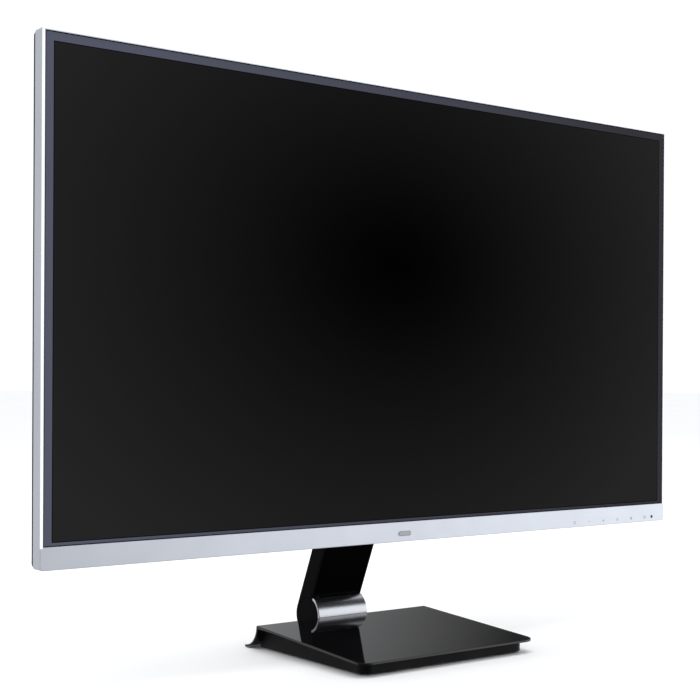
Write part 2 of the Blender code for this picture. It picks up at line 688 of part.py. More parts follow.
def make_arm_core():
    """The steel channel inside the arm: two knuckles on the shaft, a web, and a flange at the top."""
    web_front = WEB_BACK - CORE_SHEET
    web_low = (-KNUCKLE_OUTER, web_front, WEB_START)
    web_high = (KNUCKLE_OUTER, WEB_BACK, ARM_REACH - WEB_END)
    core = part("arm_core", on_arm(box_mesh(web_low, web_high)), STEEL, TILT)
    for side, name in ((-1, "left"), (1, "right")):
        x_low, x_high = sorted((side * KNUCKLE_INNER, side * KNUCKLE_OUTER))
        cheek_high = (x_high, WEB_BACK - LAP / 2, ARM_FACE_REACH - CHEEK_END)
        join(core, f"{name}_cheek", on_arm(box_mesh((x_low, CHEEK_FRONT, 0), cheek_high)))
        join(core, f"{name}_knuckle", along_axis(x_low, x_high, KNUCKLE_RADIUS))
    top_z = AXIS_Z + (ARM_REACH - FLANGE_ROOT) * math.cos(ARM_LEAN)
    flange = box_mesh(
        (-FLANGE_HALF_WIDTH, FLANGE_FRONT_Y, top_z - FLANGE_OVERLAP),
        (FLANGE_HALF_WIDTH, FLANGE_FRONT_Y + CORE_SHEET, MOUNT_Z - FLANGE_DROP),
    )
    join(core, "flange", flange)
    cut(core, "bore", along_axis(-3 * OVERCUT, 3 * OVERCUT, SHAFT_RADIUS + GAP))
    for i, x in enumerate((-ARM_SCREW_X, ARM_SCREW_X), 1):
        seat = (x, FLANGE_FRONT_Y + CORE_SHEET + GAP, MOUNT_Z - ARM_SCREW_DROP)
        cut(core, f"screw_hole_{i}", screw_hole(seat, (0, 1, 0)))
        make_screw(f"arm_screw_{i}", seat, (0, 1, 0), CORE_SHEET * 2 + GAP, TILT)
    return core


# Display head

def make_front_bezel():
    """One silver moulding: a thin rim round the panel, the sides, and the chin."""
    radii = (BEZEL_CORNER_RADIUS,) * 4
    low = (-HEAD_HALF_WIDTH, CHIN_TO_DESK)
    outline = rounded_outline(low, (HEAD_HALF_WIDTH, HEAD_TOP_Z), radii, 4)
    middle = (FRONT_Y + BEZEL_BACK_Y) / 2
    bezel = part("front_bezel", outline_mesh(outline, BEZEL_DEPTH, back_frame(middle)), SILVER, TILT)
    soften(bezel, BEZEL_ROUNDING)
    panel_window = box_mesh(
        (-PANEL_HALF_WIDTH, FRONT_Y - OVERCUT, PANEL_LOW_Z),
        (PANEL_HALF_WIDTH, BEZEL_BACK_Y + OVERCUT, PANEL_HIGH_Z),
    )
    cut(bezel, "window", panel_window)
    inside = HEAD_HALF_WIDTH - BEZEL_WALL
    chin_hollow = box_mesh(
        (-inside, FRONT_Y + BEZEL_WALL, CHIN_TO_DESK + BEZEL_WALL),
        (inside, BEZEL_BACK_Y + OVERCUT, PANEL_LOW_Z - BEZEL_WALL),
    )
    cut(bezel, "chin_hollow", chin_hollow)
    for i in range(len(BUTTON_NAMES)):
        x = FIRST_BUTTON_X + i * BUTTON_PITCH
        through = (CHIN_TO_DESK - OVERCUT, CHIN_TO_DESK + BEZEL_WALL + OVERCUT / 10)
        cut(bezel, f"button_hole_{i}", button_block(x, GAP, *through))
    ahead = FRONT_Y - OVERCUT / 2
    cut(bezel, "light_hole", light_rod(LIGHT_RADIUS + LIGHT_PLAY, ahead, FRONT_Y + OVERCUT / 2))
    badge_back = FRONT_Y - BADGE_PROUD + BADGE_THICKNESS
    cut(bezel, "badge_seat", badge_bar(GAP, ahead, badge_back + GAP))
    part("badge", badge_bar(0, FRONT_Y - BADGE_PROUD, badge_back), CHROME, TILT)
    return bezel


def badge_bar(margin, y_low, y_high):
    """A plain bar with round ends."""
    half_width = BADGE_SIZE[0] / 2 + margin
    half_height = BADGE_SIZE[1] / 2 + margin
    z = CHIN_TO_DESK + BADGE_HEIGHT
    radii = (half_height - LAP / 2,) * 4
    outline = rounded_outline((-half_width, z - half_height), (half_width, z + half_height), radii, 5)
    return outline_mesh(outline, y_high - y_low, back_frame((y_low + y_high) / 2))


def button_block(x, margin, z_low, z_high):
    half_width = BUTTON_SIZE[0] / 2 + margin
    half_depth = BUTTON_SIZE[1] / 2 + margin
    y = FRONT_Y + BUTTON_SETBACK
    return box_mesh((x - half_width, y - half_depth, z_low), (x + half_width, y + half_depth, z_high))


def light_x():
    return FIRST_BUTTON_X + (len(BUTTON_NAMES) - 1) * BUTTON_PITCH + LIGHT_OFFSET


def light_rod(radius, y_low, y_high):
    centre = (light_x(), (y_low + y_high) / 2, CHIN_TO_DESK + LIGHT_HEIGHT)
    return cylinder_mesh(centre, (0, 1, 0), radius, y_high - y_low, SMALL_SIDES)


def make_buttons():
    """Six push keys through the chin's underside, each with a flange that keeps it in."""
    flange_low = CHIN_TO_DESK + BEZEL_WALL + GAP
    for i, name in enumerate(BUTTON_NAMES):
        x = FIRST_BUTTON_X + i * BUTTON_PITCH
        pivot = bpy.data.objects.new(f"{name}_slide", None)
        pivot.location = (x, FRONT_Y + BUTTON_SETBACK, CHIN_TO_DESK)
        PARTS.objects.link(pivot)
        bpy.context.view_layer.update()
        key = button_block(x, 0, CHIN_TO_DESK - BUTTON_PROUD, KEY_FLANGE_TOP - LAP)
        button = part(f"button_{name}", key, SILVER, pivot)
        soften(button, BUTTON_ROUNDING)
        join(button, "flange", button_block(x, KEY_FLANGE, flange_low, KEY_FLANGE_TOP))


def make_button_board():
    """The strip of switches that the keys press, and the status light's pipe."""
    board_low = KEY_FLANGE_TOP + BUTTON_TRAVEL + GAP + SWITCH_HEIGHT
    y = FRONT_Y + BUTTON_SETBACK
    last_x = FIRST_BUTTON_X + (len(BUTTON_NAMES) - 1) * BUTTON_PITCH
    low = (FIRST_BUTTON_X - STRIP_ENDS[0], y - STRIP_REACH[0], board_low)
    high = (last_x + STRIP_ENDS[1], y + STRIP_REACH[1], board_low + BOARD_THICKNESS)
    board = part("button_board", box_mesh(low, high), BOARD, TILT)
    for i, name in enumerate(BUTTON_NAMES):
        x = FIRST_BUTTON_X + i * BUTTON_PITCH
        switch = box_mesh(
            (x - SWITCH_HALF_WIDTH, y - SWITCH_HALF_WIDTH, board_low - SWITCH_HEIGHT),
            (x + SWITCH_HALF_WIDTH, y + SWITCH_HALF_WIDTH, board_low + LAP),
        )
        join(board, f"switch_{name}", switch)
    part("status_light", light_rod(LIGHT_RADIUS, FRONT_Y, y - STRIP_REACH[1]), CLEAR, TILT)


def panel_box(margin, y_low, y_high, floor_margin=None):
    low_margin = margin if floor_margin is None else floor_margin
    return box_mesh(
        (-PANEL_HALF_WIDTH + margin, y_low, PANEL_LOW_Z + low_margin),
        (PANEL_HALF_WIDTH - margin, y_high, PANEL_HIGH_Z - margin),
    )


def make_panel():
    """The display panel, front to back: glass cell, films, light guide, LED strip, metal pan."""
    inside = GAP + CHASSIS_SHEET + GAP
    strip_top = inside + LED_STRIP_HEIGHT
    cell = panel_box(GAP, PANEL_FRONT_Y, PANEL_FRONT_Y + PANEL_THICKNESS)
    part("lcd_panel", cell, SCREEN, TILT)
    films = panel_box(inside, FILM_FRONT_Y, FILM_FRONT_Y + FILM_THICKNESS)
    part("optical_films", films, FILM, TILT)
    guide = panel_box(inside, GUIDE_FRONT_Y, GUIDE_FRONT_Y + GUIDE_THICKNESS, strip_top + GAP)
    part("light_guide", guide, CLEAR, TILT)
    strip = box_mesh(
        (-PANEL_HALF_WIDTH + inside, GUIDE_FRONT_Y, PANEL_LOW_Z + inside),
        (PANEL_HALF_WIDTH - inside, GUIDE_FRONT_Y + GUIDE_THICKNESS, PANEL_LOW_Z + strip_top),
    )
    part("led_strip", strip, BOARD, TILT)
    pan = part("panel_chassis", panel_box(GAP, FILM_FRONT_Y, CHASSIS_BACK_Y), STEEL, TILT)
    cut(pan, "inside", panel_box(GAP + CHASSIS_SHEET, FILM_FRONT_Y - OVERCUT, CHASSIS_INNER_Y))
    return pan


def bulge_ring(inset, y):
    """One rounded rectangle of the raised middle of the rear cover."""
    low = (-BULGE_HALF_WIDTH + inset, CHIN_TO_DESK + BULGE_LOW + inset)
    high = (BULGE_HALF_WIDTH - inset, CHIN_TO_DESK + BULGE_HIGH - inset)
    return rounded_outline(low, high, (BULGE_CORNER_RADIUS,) * 4), y


def edge_ring(inset, radius, y):
    low = (-HEAD_HALF_WIDTH + inset, CHIN_TO_DESK + inset)
    high = (HEAD_HALF_WIDTH - inset, HEAD_TOP_Z - inset)
    return rounded_outline(low, high, (radius,) * 4), y


def make_rear_cover():
    """The back moulding: a thin edge behind the bezel, a shallow dish, and the raised middle."""
    start = BEZEL_BACK_Y + GAP
    rings = []
    for inset, radius, back in EDGE_STEPS:
        rings.append(edge_ring(COVER_EDGE_INSET + inset, radius, start + back))
    rings += [
        bulge_ring(0, start + DISH_DEPTH),
        bulge_ring(BULGE_STEP[0], start + DISH_DEPTH + BULGE_STEP[1]),
        bulge_ring(BULGE_SLOPE - BULGE_ROUND[0], BULGE_BACK_Y - BULGE_ROUND[1]),
        bulge_ring(BULGE_SLOPE, BULGE_BACK_Y),
    ]
    cover = part("rear_cover", loft(rings), TEXTURED_BLACK, TILT)
    wall = cover.modifiers.new("wall", "SOLIDIFY")
    wall.thickness = COVER_WALL
    wall.offset = -1
    wall.use_even_offset = True
    half = BARREL_LENGTH / 2 + GAP
    arm_way = on_arm(box_mesh((-half, -GAP, 0), (half, BARREL_RADIUS + GAP, ARM_REACH + GAP)))
    cut(cover, "arm_slot", arm_way)
    low, high = port_recess_box()
    pocket_high = (high[0] + GAP, high[1] + 5 * OVERCUT, high[2] + GAP)
    pocket = box_mesh((low[0] - GAP, low[1] - GAP, low[2] - GAP), pocket_high)
    cut(cover, "port_opening", pocket)
    for i, (x, z) in enumerate(insert_places(), 1):
        place = (x, BULGE_BACK_Y, z)
        hole = cylinder_mesh(place, (0, 1, 0), INSERT_RADIUS + GAP, 2 * OVERCUT, SMALL_SIDES)
        cut(cover, f"insert_hole_{i}", hole)
    top = CHIN_TO_DESK + BULGE_HIGH - BULGE_SLOPE - VENT_DROP
    for i in range(VENT_COUNT):
        for side, name in ((-1, "left"), (1, "right")):
            x = side * (VENT_START + i * VENT_PITCH)
            low = (x - VENT_WIDTH / 2, BULGE_BACK_Y - VENT_DEPTH, top - VENT_LENGTH)
            high = (x + VENT_WIDTH / 2, BULGE_BACK_Y + OVERCUT, top)
            cut(cover, f"vent_{name}_{i}", box_mesh(low, high))
    make_cover_screws(cover)
    return cover


def loft(rings):
    """Skins a run of outlines with equal point counts, and closes the last."""
    shape = bmesh.new()
    loops = []
    for outline, y in rings:
        loops.append([shape.verts.new((x, y, z)) for x, z in outline])
    count = len(loops[0])
    for near, far in zip(loops, loops[1:]):
        for i in range(count):
            j = (i + 1) % count
            shape.faces.new((near[i], far[i], far[j], near[j]))
    shape.faces.new(loops[-1])
    bmesh.ops.recalc_face_normals(shape, faces=shape.faces)
    centre_face = max(shape.faces, key=lambda face: face.calc_area())
    if centre_face.normal.y < 0:
        bmesh.ops.reverse_faces(shape, faces=shape.faces)
    return to_mesh(shape)


def insert_places():
    reach = MOUNT_SPACING / 2
    return [(x, MOUNT_Z + z) for x in (-reach, reach) for z in (-reach, reach)]


def make_mount_inserts():
    """Four threaded inserts on a 100 mm square, flush with the rear cover."""
    y = BULGE_BACK_Y - INSERT_LENGTH / 2 - INSERT_SINK
    for i, (x, z) in enumerate(insert_places(), 1):
        sleeve = cylinder_mesh((x, y, z), (0, 1, 0), INSERT_RADIUS, INSERT_LENGTH, SMALL_SIDES)
        insert = part(f"mount_insert_{i}", sleeve, BRASS, TILT)
        place = (x, y + INSERT_FLOOR, z)
        cut(insert, "thread", cylinder_mesh(place, (0, 1, 0), INSERT_BORE, INSERT_LENGTH, SMALL_SIDES))


def make_mount_plate():
    """The steel hat that carries the head: its crown takes the arm, its feet stand on the pan."""
    sheet = CORE_SHEET - GAP
    crown_back = HAT_FRONT_Y + CORE_SHEET
    crown_front = crown_back - sheet
    z_low = CROWN_LOW_Z
    z_high = MOUNT_Z + CROWN_RISE
    crown_low = (-CROWN_HALF_WIDTH, crown_front, z_low)
    crown = box_mesh(crown_low, (CROWN_HALF_WIDTH, crown_back, z_high))
    plate = part("mount_plate", crown, STEEL, TILT)
    foot_y = CHASSIS_BACK_Y + GAP
    for side, name in ((-1, "left"), (1, "right")):
        x_low, x_high = sorted((side * (CROWN_HALF_WIDTH - LEG_SHEET), side * CROWN_HALF_WIDTH))
        leg_low = (x_low, foot_y, z_low + HAT_STEP)
        leg_high = (x_high, crown_front + HAT_STEP, z_high - HAT_STEP)
        join(plate, f"{name}_leg", box_mesh(leg_low, leg_high))
        x_low, x_high = sorted((side * HAT_FOOT[0], side * HAT_FOOT[1]))
        sole_low = (x_low, foot_y, z_low + 2 * HAT_STEP)
        sole_high = (x_high, foot_y + HAT_FOOT_SHEET, z_high - 2 * HAT_STEP)
        join(plate, f"{name}_foot", box_mesh(sole_low, sole_high))
    for i, x in enumerate((-ARM_SCREW_X, ARM_SCREW_X), 1):
        place = (x, crown_front, MOUNT_Z - ARM_SCREW_DROP)
        cut(plate, f"arm_hole_{i}", screw_hole(place, (0, 1, 0)))
    window = box_mesh(
        (-WINDOW_HALF_WIDTH, crown_front - OVERCUT, MOUNT_Z - WINDOW_LOW),
        (WINDOW_HALF_WIDTH, crown_back + OVERCUT, MOUNT_Z + WINDOW_HIGH),
    )
    cut(plate, "window", window)
    return plate


def make_cover_screws(cover):
    heights = (CHIN_TO_DESK + COVER_SCREW_INSET, HEAD_TOP_Z - COVER_SCREW_INSET)
    places = [(x, z) for x in (-COVER_SCREW_X, COVER_SCREW_X) for z in heights]
    outer_y = BEZEL_BACK_Y + COVER_SCREW_RIM
    seat_y = BEZEL_BACK_Y + COVER_SCREW_SEAT
    shank = seat_y - CHASSIS_BACK_Y - GAP
    for i, (x, z) in enumerate(places, 1):
        sink = cylinder_mesh((x, outer_y, z), (0, 1, 0), COVER_SCREW_SINK, 2 * OVERCUT, SMALL_SIDES)
        cut(cover, f"screw_hole_{i}", sink)
        make_screw(f"cover_screw_{i}", (x, seat_y, z), (0, 1, 0), shank, TILT)


# Electronics

def port_recess_box():
    """The pocket under the raised middle, where the plugs go in from below."""
    front = BEZEL_BACK_Y + GAP + DISH_DEPTH - RECESS_WALL
    low = (PORTS_X - PORTS_HALF_WIDTH, front, CHIN_TO_DESK + BULGE_LOW + RECESS_LIFT)
    high = (PORTS_X + PORTS_HALF_WIDTH, BULGE_BACK_Y - RECESS_SINK, CHIN_TO_DESK + RECESS_ROOF)
    return low, high


def socket_y():
    low, high = port_recess_box()
    return (low[1] + high[1]) / 2


def make_port_recess():
    low, high = port_recess_box()
    wall = RECESS_WALL
    recess = part("port_recess", box_mesh(low, high), TEXTURED_BLACK, TILT)
    hollow = box_mesh(
        (low[0] + wall, low[1] + wall, low[2] - OVERCUT),
        (high[0] - wall, high[1] + OVERCUT, high[2] - wall),
    )
    cut(recess, "hollow", hollow)
    y = socket_y()
    for name, offset, (width, depth) in SOCKETS:
        x = PORTS_X + offset
        hole = box_mesh(
            (x - width / 2 - GAP, y - depth / 2 - GAP, high[2] - OVERCUT),
            (x + width / 2 + GAP, y + depth / 2 + GAP, high[2] + OVERCUT),
        )
        cut(recess, f"{name}_hole", hole)
    return recess


def upright(centre, radius, length):
    return cylinder_mesh(centre, (0, 0, 1), radius, length, SMALL_SIDES)


def make_sockets():
    """The sockets hang from the main board's lower edge, with their mouths facing down."""
    top_of_recess = port_recess_box()[1][2]
    mouth = top_of_recess - SOCKET_DROP
    y = socket_y()
    for name, offset, (width, depth) in SOCKETS:
        x = PORTS_X + offset
        low = (x - width / 2, y - depth / 2, mouth)
        high = (x + width / 2, y + depth / 2, mouth + SOCKET_LENGTH)
        material = TEXTURED_BLACK if name in ("power_socket", "audio_socket") else STEEL
        socket = part(name, box_mesh(low, high), material, TILT)
        if name == "power_socket":
            cut(socket, "bore", upright((x, y, mouth + BORE_LENGTH / 3), POWER_BORE, BORE_LENGTH))
            join(socket, "pin", upright((x, y, mouth + BORE_LENGTH / 2), POWER_PIN, POWER_PIN_LENGTH))
        elif name == "audio_socket":
            cut(socket, "bore", upright((x, y, mouth + BORE_LENGTH / 3), AUDIO_BORE, BORE_LENGTH))
        else:
            wall = SOCKET_SHELL
            mouth_box = box_mesh(
                (low[0] + wall, low[1] + wall, mouth - OVERCUT),
                (high[0] - wall, high[1] - wall, mouth + MOUTH_DEPTH),
            )
            cut(socket, "mouth", mouth_box)


def make_boards():
    """Main board behind the sockets, power board on the other side, timing board under the crown."""
    z = port_recess_box()[1][2] + GAP + 2 * LAP
    y = socket_y() - MAIN_BOARD_SETBACK
    low = (PORTS_X - MAIN_BOARD_HALF_WIDTH, y - BOARD_THICKNESS, z)
    high = (PORTS_X + MAIN_BOARD_HALF_WIDTH, y, z + MAIN_BOARD_HEIGHT)
    main = part("main_board", box_mesh(low, high), BOARD, TILT)
    half, chip_low, chip_high, front = CHIP
    chip = box_mesh((PORTS_X - half, y - LAP, z + chip_low), (PORTS_X + half, y + front, z + chip_high))
    join(main, "processor", chip)
    chip_face = front
    half, sink_low, sink_high, front = HEAT_SINK
    sink = box_mesh(
        (PORTS_X - half, y + chip_face - GAP, z + sink_low),
        (PORTS_X + half, y + front, z + sink_high),
    )
    join(main, "heat_sink", sink)
    low = (POWER_BOARD_X[0], CHASSIS_BACK_Y + POWER_BOARD_LIFT, MOUNT_Z + POWER_BOARD_Z[0])
    high = (POWER_BOARD_X[1], low[1] + BOARD_THICKNESS, MOUNT_Z + POWER_BOARD_Z[1])
    power = part("power_board", box_mesh(low, high), BOARD, TILT)
    x, rise, radius, length = COIL
    place = (x, high[1] + length / 2 - LAP, MOUNT_Z + rise)
    join(power, "coil", cylinder_mesh(place, (0, 1, 0), radius, length, SMALL_SIDES))
    x, rise, radius, length = CAPACITOR
    for i in range(3):
        place = (x + CAPACITOR_PITCH * i, high[1] + length / 2 - LAP, MOUNT_Z + rise)
        join(power, f"capacitor_{i}", cylinder_mesh(place, (0, 1, 0), radius, length, SMALL_SIDES))
    low = (-TIMING_BOARD_HALF_WIDTH, CHASSIS_BACK_Y + TIMING_BOARD_LIFT, MOUNT_Z + TIMING_BOARD_Z[0])
    high = (TIMING_BOARD_HALF_WIDTH, low[1] + BOARD_THICKNESS, MOUNT_Z + TIMING_BOARD_Z[1])
    part("timing_board", box_mesh(low, high), BOARD, TILT)


def make_ribbon():
    """A flat flexible cable from the timing board to the main board, past the carrier's foot."""
    low = (RIBBON_X[0], CHASSIS_BACK_Y + RIBBON_LIFT[0], MOUNT_Z + RIBBON_Z[0])
    high = (RIBBON_X[1], CHASSIS_BACK_Y + RIBBON_LIFT[1], MOUNT_Z + RIBBON_Z[1])
    return part("ribbon_cable", box_mesh(low, high), RIBBON, TILT)


make_base_plate()
make_base_tray()
make_base_weight()
make_feet()
make_hinge_bracket()
make_shaft_stack()
make_hinge_cover()
make_end_caps()
make_arm_rear_cover()
make_arm_front_cover()
make_arm_core()
make_front_bezel()
make_buttons()
make_button_board()
make_panel()
make_rear_cover()
make_mount_inserts()
make_mount_plate()
make_port_recess()
make_sockets()
make_boards()
make_ribbon()
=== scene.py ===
"""A 27 inch desktop monitor: silver bezel, matt screen, black arm, bright barrel hinge, gloss base."""

import json
import math

import bmesh
import bpy
import numpy as np
from mathutils import Matrix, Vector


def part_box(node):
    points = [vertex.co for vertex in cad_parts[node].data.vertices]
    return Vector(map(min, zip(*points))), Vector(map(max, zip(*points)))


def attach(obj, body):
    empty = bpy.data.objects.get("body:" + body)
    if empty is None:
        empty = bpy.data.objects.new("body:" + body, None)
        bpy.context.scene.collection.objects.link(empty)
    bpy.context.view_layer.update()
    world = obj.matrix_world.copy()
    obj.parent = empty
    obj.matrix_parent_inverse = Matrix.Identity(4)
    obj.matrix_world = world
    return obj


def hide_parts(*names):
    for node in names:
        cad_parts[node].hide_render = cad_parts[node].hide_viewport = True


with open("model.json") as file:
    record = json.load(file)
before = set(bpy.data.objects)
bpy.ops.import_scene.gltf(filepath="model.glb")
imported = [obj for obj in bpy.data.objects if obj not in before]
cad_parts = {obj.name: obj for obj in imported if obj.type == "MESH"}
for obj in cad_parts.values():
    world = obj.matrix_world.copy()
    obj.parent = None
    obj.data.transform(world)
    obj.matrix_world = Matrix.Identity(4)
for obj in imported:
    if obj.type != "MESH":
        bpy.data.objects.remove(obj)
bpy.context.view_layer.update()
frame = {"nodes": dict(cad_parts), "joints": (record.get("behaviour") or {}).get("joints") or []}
nodes = frame["nodes"]
scene = bpy.context.scene


# Viewpoint. A long lens from the left, at the height of the screen's lower third, turned 38.5 degrees.
# The two small shifts only set the frame.
LENS = 72.45
FRAME_SHIFT = (-0.0962, 0.0546)
CAMERA_PLACE = (-0.6917, -0.9121, 0.2150)
YAW, PITCH, ROLL = -38.52, 89.82, 0.32
camera = bpy.data.objects.new("camera", bpy.data.cameras.new("camera"))
camera.data.lens = LENS
camera.data.shift_x, camera.data.shift_y = FRAME_SHIFT
camera.data.clip_start = 0.02
camera_place = Matrix.Translation(CAMERA_PLACE)
camera_yaw = Matrix.Rotation(math.radians(YAW), 4, "Z")
camera_pitch = Matrix.Rotation(math.radians(PITCH), 4, "X")
camera_roll = Matrix.Rotation(math.radians(ROLL), 4, "Z")
camera.matrix_world = camera_place @ camera_yaw @ camera_pitch @ camera_roll
scene.collection.objects.link(camera)
scene.camera = camera
scene.view_settings.view_transform = "Standard"


# Base tray. A moulded black tray that closes the base from below and stands back from the plate's
# edge. Its walls have the fine spark-eroded texture of a mould that was never polished.
def new_material(name):
    """A node material, its tree, its shader, and the place on the surface in metres."""
    made = bpy.data.materials.new(name)
    made.use_nodes = True
    tree = made.node_tree
    place = tree.nodes.new("ShaderNodeTexCoord").outputs["Object"]
    return made, tree, tree.nodes["Principled BSDF"], place


def add(tree, kind, settings=None, **inputs):
    """A new node with its settings, and its inputs set to numbers or joined to other sockets."""
    made = tree.nodes.new(kind)
    for key, value in (settings or {}).items():
        setattr(made, key, value)
    for key, value in inputs.items():
        socket = made.inputs[key.replace("_", " ")]
        if isinstance(value, bpy.types.NodeSocket):
            tree.links.new(value, socket)
        else:
            socket.default_value = value
    return made


def set_shader(tree, shader, **inputs):
    """Sets the shader's sockets to numbers or joins them to other sockets."""
    for key, value in inputs.items():
        socket = shader.inputs[key.replace("_", " ")]
        if isinstance(value, bpy.types.NodeSocket):
            tree.links.new(value, socket)
        else:
            socket.default_value = value


def new_group(name, inputs, outputs):
    """An empty shader node group with named sockets, its input node and its output node."""
    group = bpy.data.node_groups.new(name, "ShaderNodeTree")
    for label, kind in inputs:
        group.interface.new_socket(label, in_out="INPUT", socket_type=kind)
    for label, kind in outputs:
        group.interface.new_socket(label, in_out="OUTPUT", socket_type=kind)
    return group, group.nodes.new("NodeGroupInput"), group.nodes.new("NodeGroupOutput")


def span(tree, value, low, high, start=0.35, end=0.65):
    """Stretches a noise value, which mostly runs from start to end, to run from low to high."""
    made = add(tree, "ShaderNodeMapRange", Value=value)
    made.inputs["From Min"].default_value = start
    made.inputs["From Max"].default_value = end
    for label, bound in (("To Min", low), ("To Max", high)):
        if isinstance(bound, bpy.types.NodeSocket):
            tree.links.new(bound, made.inputs[label])
        else:
            made.inputs[label].default_value = bound
    return made.outputs["Result"]


NUMBER, COLOUR, VECTOR = "NodeSocketFloat", "NodeSocketColor", "NodeSocketVector"

grain_group, grain_in, grain_out = new_group(
    "moulded_grain",
    [("Place", VECTOR), ("Scale", NUMBER), ("Smoothest", NUMBER), ("Roughest", NUMBER)],
    [("Roughness", NUMBER), ("Height", NUMBER)],
)
pits = add(
    grain_group, "ShaderNodeTexVoronoi", Vector=grain_in.outputs["Place"], Scale=grain_in.outputs["Scale"]
)
mottle = add(grain_group, "ShaderNodeTexNoise", Vector=grain_in.outputs["Place"], Scale=45.0, Detail=4.0)
grain_group.links.new(
    span(grain_group, mottle.outputs["Fac"], grain_in.outputs["Smoothest"], grain_in.outputs["Roughest"]),
    grain_out.inputs["Roughness"],
)
grain_group.links.new(pits.outputs["Distance"], grain_out.inputs["Height"])

tone_group, tone_in, tone_out = new_group(
    "tone_drift",
    [("Place", VECTOR), ("Scale", NUMBER), ("First", COLOUR), ("Second", COLOUR)],
    [("Colour", COLOUR)],
)
clouds = add(
    tone_group, "ShaderNodeTexNoise", Vector=tone_in.outputs["Place"],
    Scale=tone_in.outputs["Scale"], Detail=3.0
)
tone_mix = tone_group.nodes.new("ShaderNodeMix")
tone_mix.data_type = "RGBA"
tone_group.links.new(span(tone_group, clouds.outputs["Fac"], 0.0, 1.0), tone_mix.inputs[0])
tone_group.links.new(tone_in.outputs["First"], tone_mix.inputs[6])
tone_group.links.new(tone_in.outputs["Second"], tone_mix.inputs[7])
tone_group.links.new(tone_mix.outputs[2], tone_out.inputs["Colour"])


def use_group(tree, group, **inputs):
    """Places a node group with its own values, and returns its outputs."""
    made = tree.nodes.new("ShaderNodeGroup")
    made.node_tree = group
    set_shader(tree, made, **inputs)
    return made.outputs


def grained(name, first, second, grain, smoothest, roughest, depth, **fixed):
    """A moulded or painted finish: two close tones, a patchy roughness, and a fine pitted relief."""
    made, tree, shader, place = new_material(name)
    tone = use_group(tree, tone_group, Place=place, Scale=14.0, First=(*first, 1), Second=(*second, 1))
    relief = use_group(
        tree, grain_group, Place=place, Scale=grain, Smoothest=smoothest, Roughest=roughest
    )
    bump = add(tree, "ShaderNodeBump", Height=relief["Height"], Distance=depth, Strength=0.6)
    set_shader(
        tree, shader, Base_Color=tone["Colour"], Roughness=relief["Roughness"],
        Normal=bump.outputs["Normal"], **fixed
    )
    return made


def outward(mesh):
    """Turns every face round when the closed mesh holds a negative volume."""
    shape = bmesh.new()
    shape.from_mesh(mesh)
    if shape.calc_volume(signed=True) < 0:
        bmesh.ops.reverse_faces(shape, faces=shape.faces)
        shape.to_mesh(mesh)
    shape.free()


def settle(piece, material, body):
    """Smooth shading that keeps the flats flat, the finish, and the body that carries the piece."""
    piece.data.materials.clear()
    piece.data.materials.append(material)
    piece.data.shade_smooth()
    piece.data.set_sharp_from_angle(angle=math.radians(38))
    flats = piece.modifiers.new("flats", "WEIGHTED_NORMAL")
    flats.keep_sharp = True
    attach(piece, body)
    return piece


def softened(node, name, material, body, width, segments=2):
    """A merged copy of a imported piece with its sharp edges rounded, which stands for that piece."""
    mesh = nodes[node].data.copy()
    mesh.name = name
    shape = bmesh.new()
    shape.from_mesh(mesh)
    bmesh.ops.remove_doubles(shape, verts=shape.verts, dist=2e-6)
    bmesh.ops.dissolve_limit(shape, angle_limit=math.radians(0.3), verts=shape.verts, edges=shape.edges)
    shape.to_mesh(mesh)
    shape.free()
    piece = bpy.data.objects.new(name, mesh)
    scene.collection.objects.link(piece)
    edges = piece.modifiers.new("edges", "BEVEL")
    edges.width = width
    edges.segments = segments
    edges.limit_method = "ANGLE"
    edges.angle_limit = math.radians(40)
    edges.use_clamp_overlap = True
    settle(piece, material, body)
    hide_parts(node)
    return piece


def refinish(material, *names):
    """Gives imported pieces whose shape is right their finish."""
    for name in names:
        nodes[name].data.materials.clear()
        nodes[name].data.materials.append(material)


tray_black = grained(
    "tray_black", (0.004, 0.004, 0.0045), (0.006, 0.006, 0.0065), 2600.0, 0.42, 0.55, 0.00003,
    Specular_IOR_Level=0.08
)
softened("base_tray", "moulded_tray", tray_black, "stand", 0.0004)


# Feet. Four pads of black rubber, punched from sheet and stuck in under the tray's corners, with the
# rim of each pressed a little round.
def turned(profile, centre, axis, steps=48):
    """A profile of (radius, along) points carried round an axis; a point of radius 0 is a pole."""
    radius, along = np.array(profile, float).T
    angle = np.linspace(0, 2 * math.pi, steps, endpoint=False)
    ring = np.stack([np.cos(angle), np.sin(angle)])
    across = radius[:, None, None] * ring.transpose(1, 0)[None]
    points = np.concatenate([across, np.repeat(along[:, None, None], steps, 1)], 2).reshape(-1, 3)
    order = {"Y": [0, 2, 1], "Z": [0, 1, 2]}[axis]
    return points[:, order] + np.array(centre), steps


def quads(rows, columns):
    """Corner numbers of the quads of a grid whose last column joins its first."""
    row, column = np.meshgrid(np.arange(rows - 1), np.arange(columns), indexing="ij")
    after = (column + 1) % columns
    corners = [
        row * columns + column, row * columns + after, (row + 1) * columns + after,
        (row + 1) * columns + column
    ]
    return np.stack(corners, -1).reshape(-1, 4)


def closed_piece(name, points, rows, columns, material, body, stands_for):
    """A piece from rows of closed rings, with a face over each end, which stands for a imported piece."""
    faces = quads(rows, columns).tolist()
    faces += [list(range(columns))[::-1], list(range((rows - 1) * columns, rows * columns))]
    mesh = bpy.data.meshes.new(name)
    mesh.from_pydata(points.tolist(), [], faces)
    mesh.validate()
    outward(mesh)
    piece = bpy.data.objects.new(name, mesh)
    scene.collection.objects.link(piece)
    settle(piece, material, body)
    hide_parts(stands_for)


def quarter(steps=4):
    """Sine and cosine of evenly spaced angles from 0 to a quarter turn."""
    angle = np.linspace(0, math.pi / 2, steps + 1)
    return np.sin(angle), np.cos(angle)


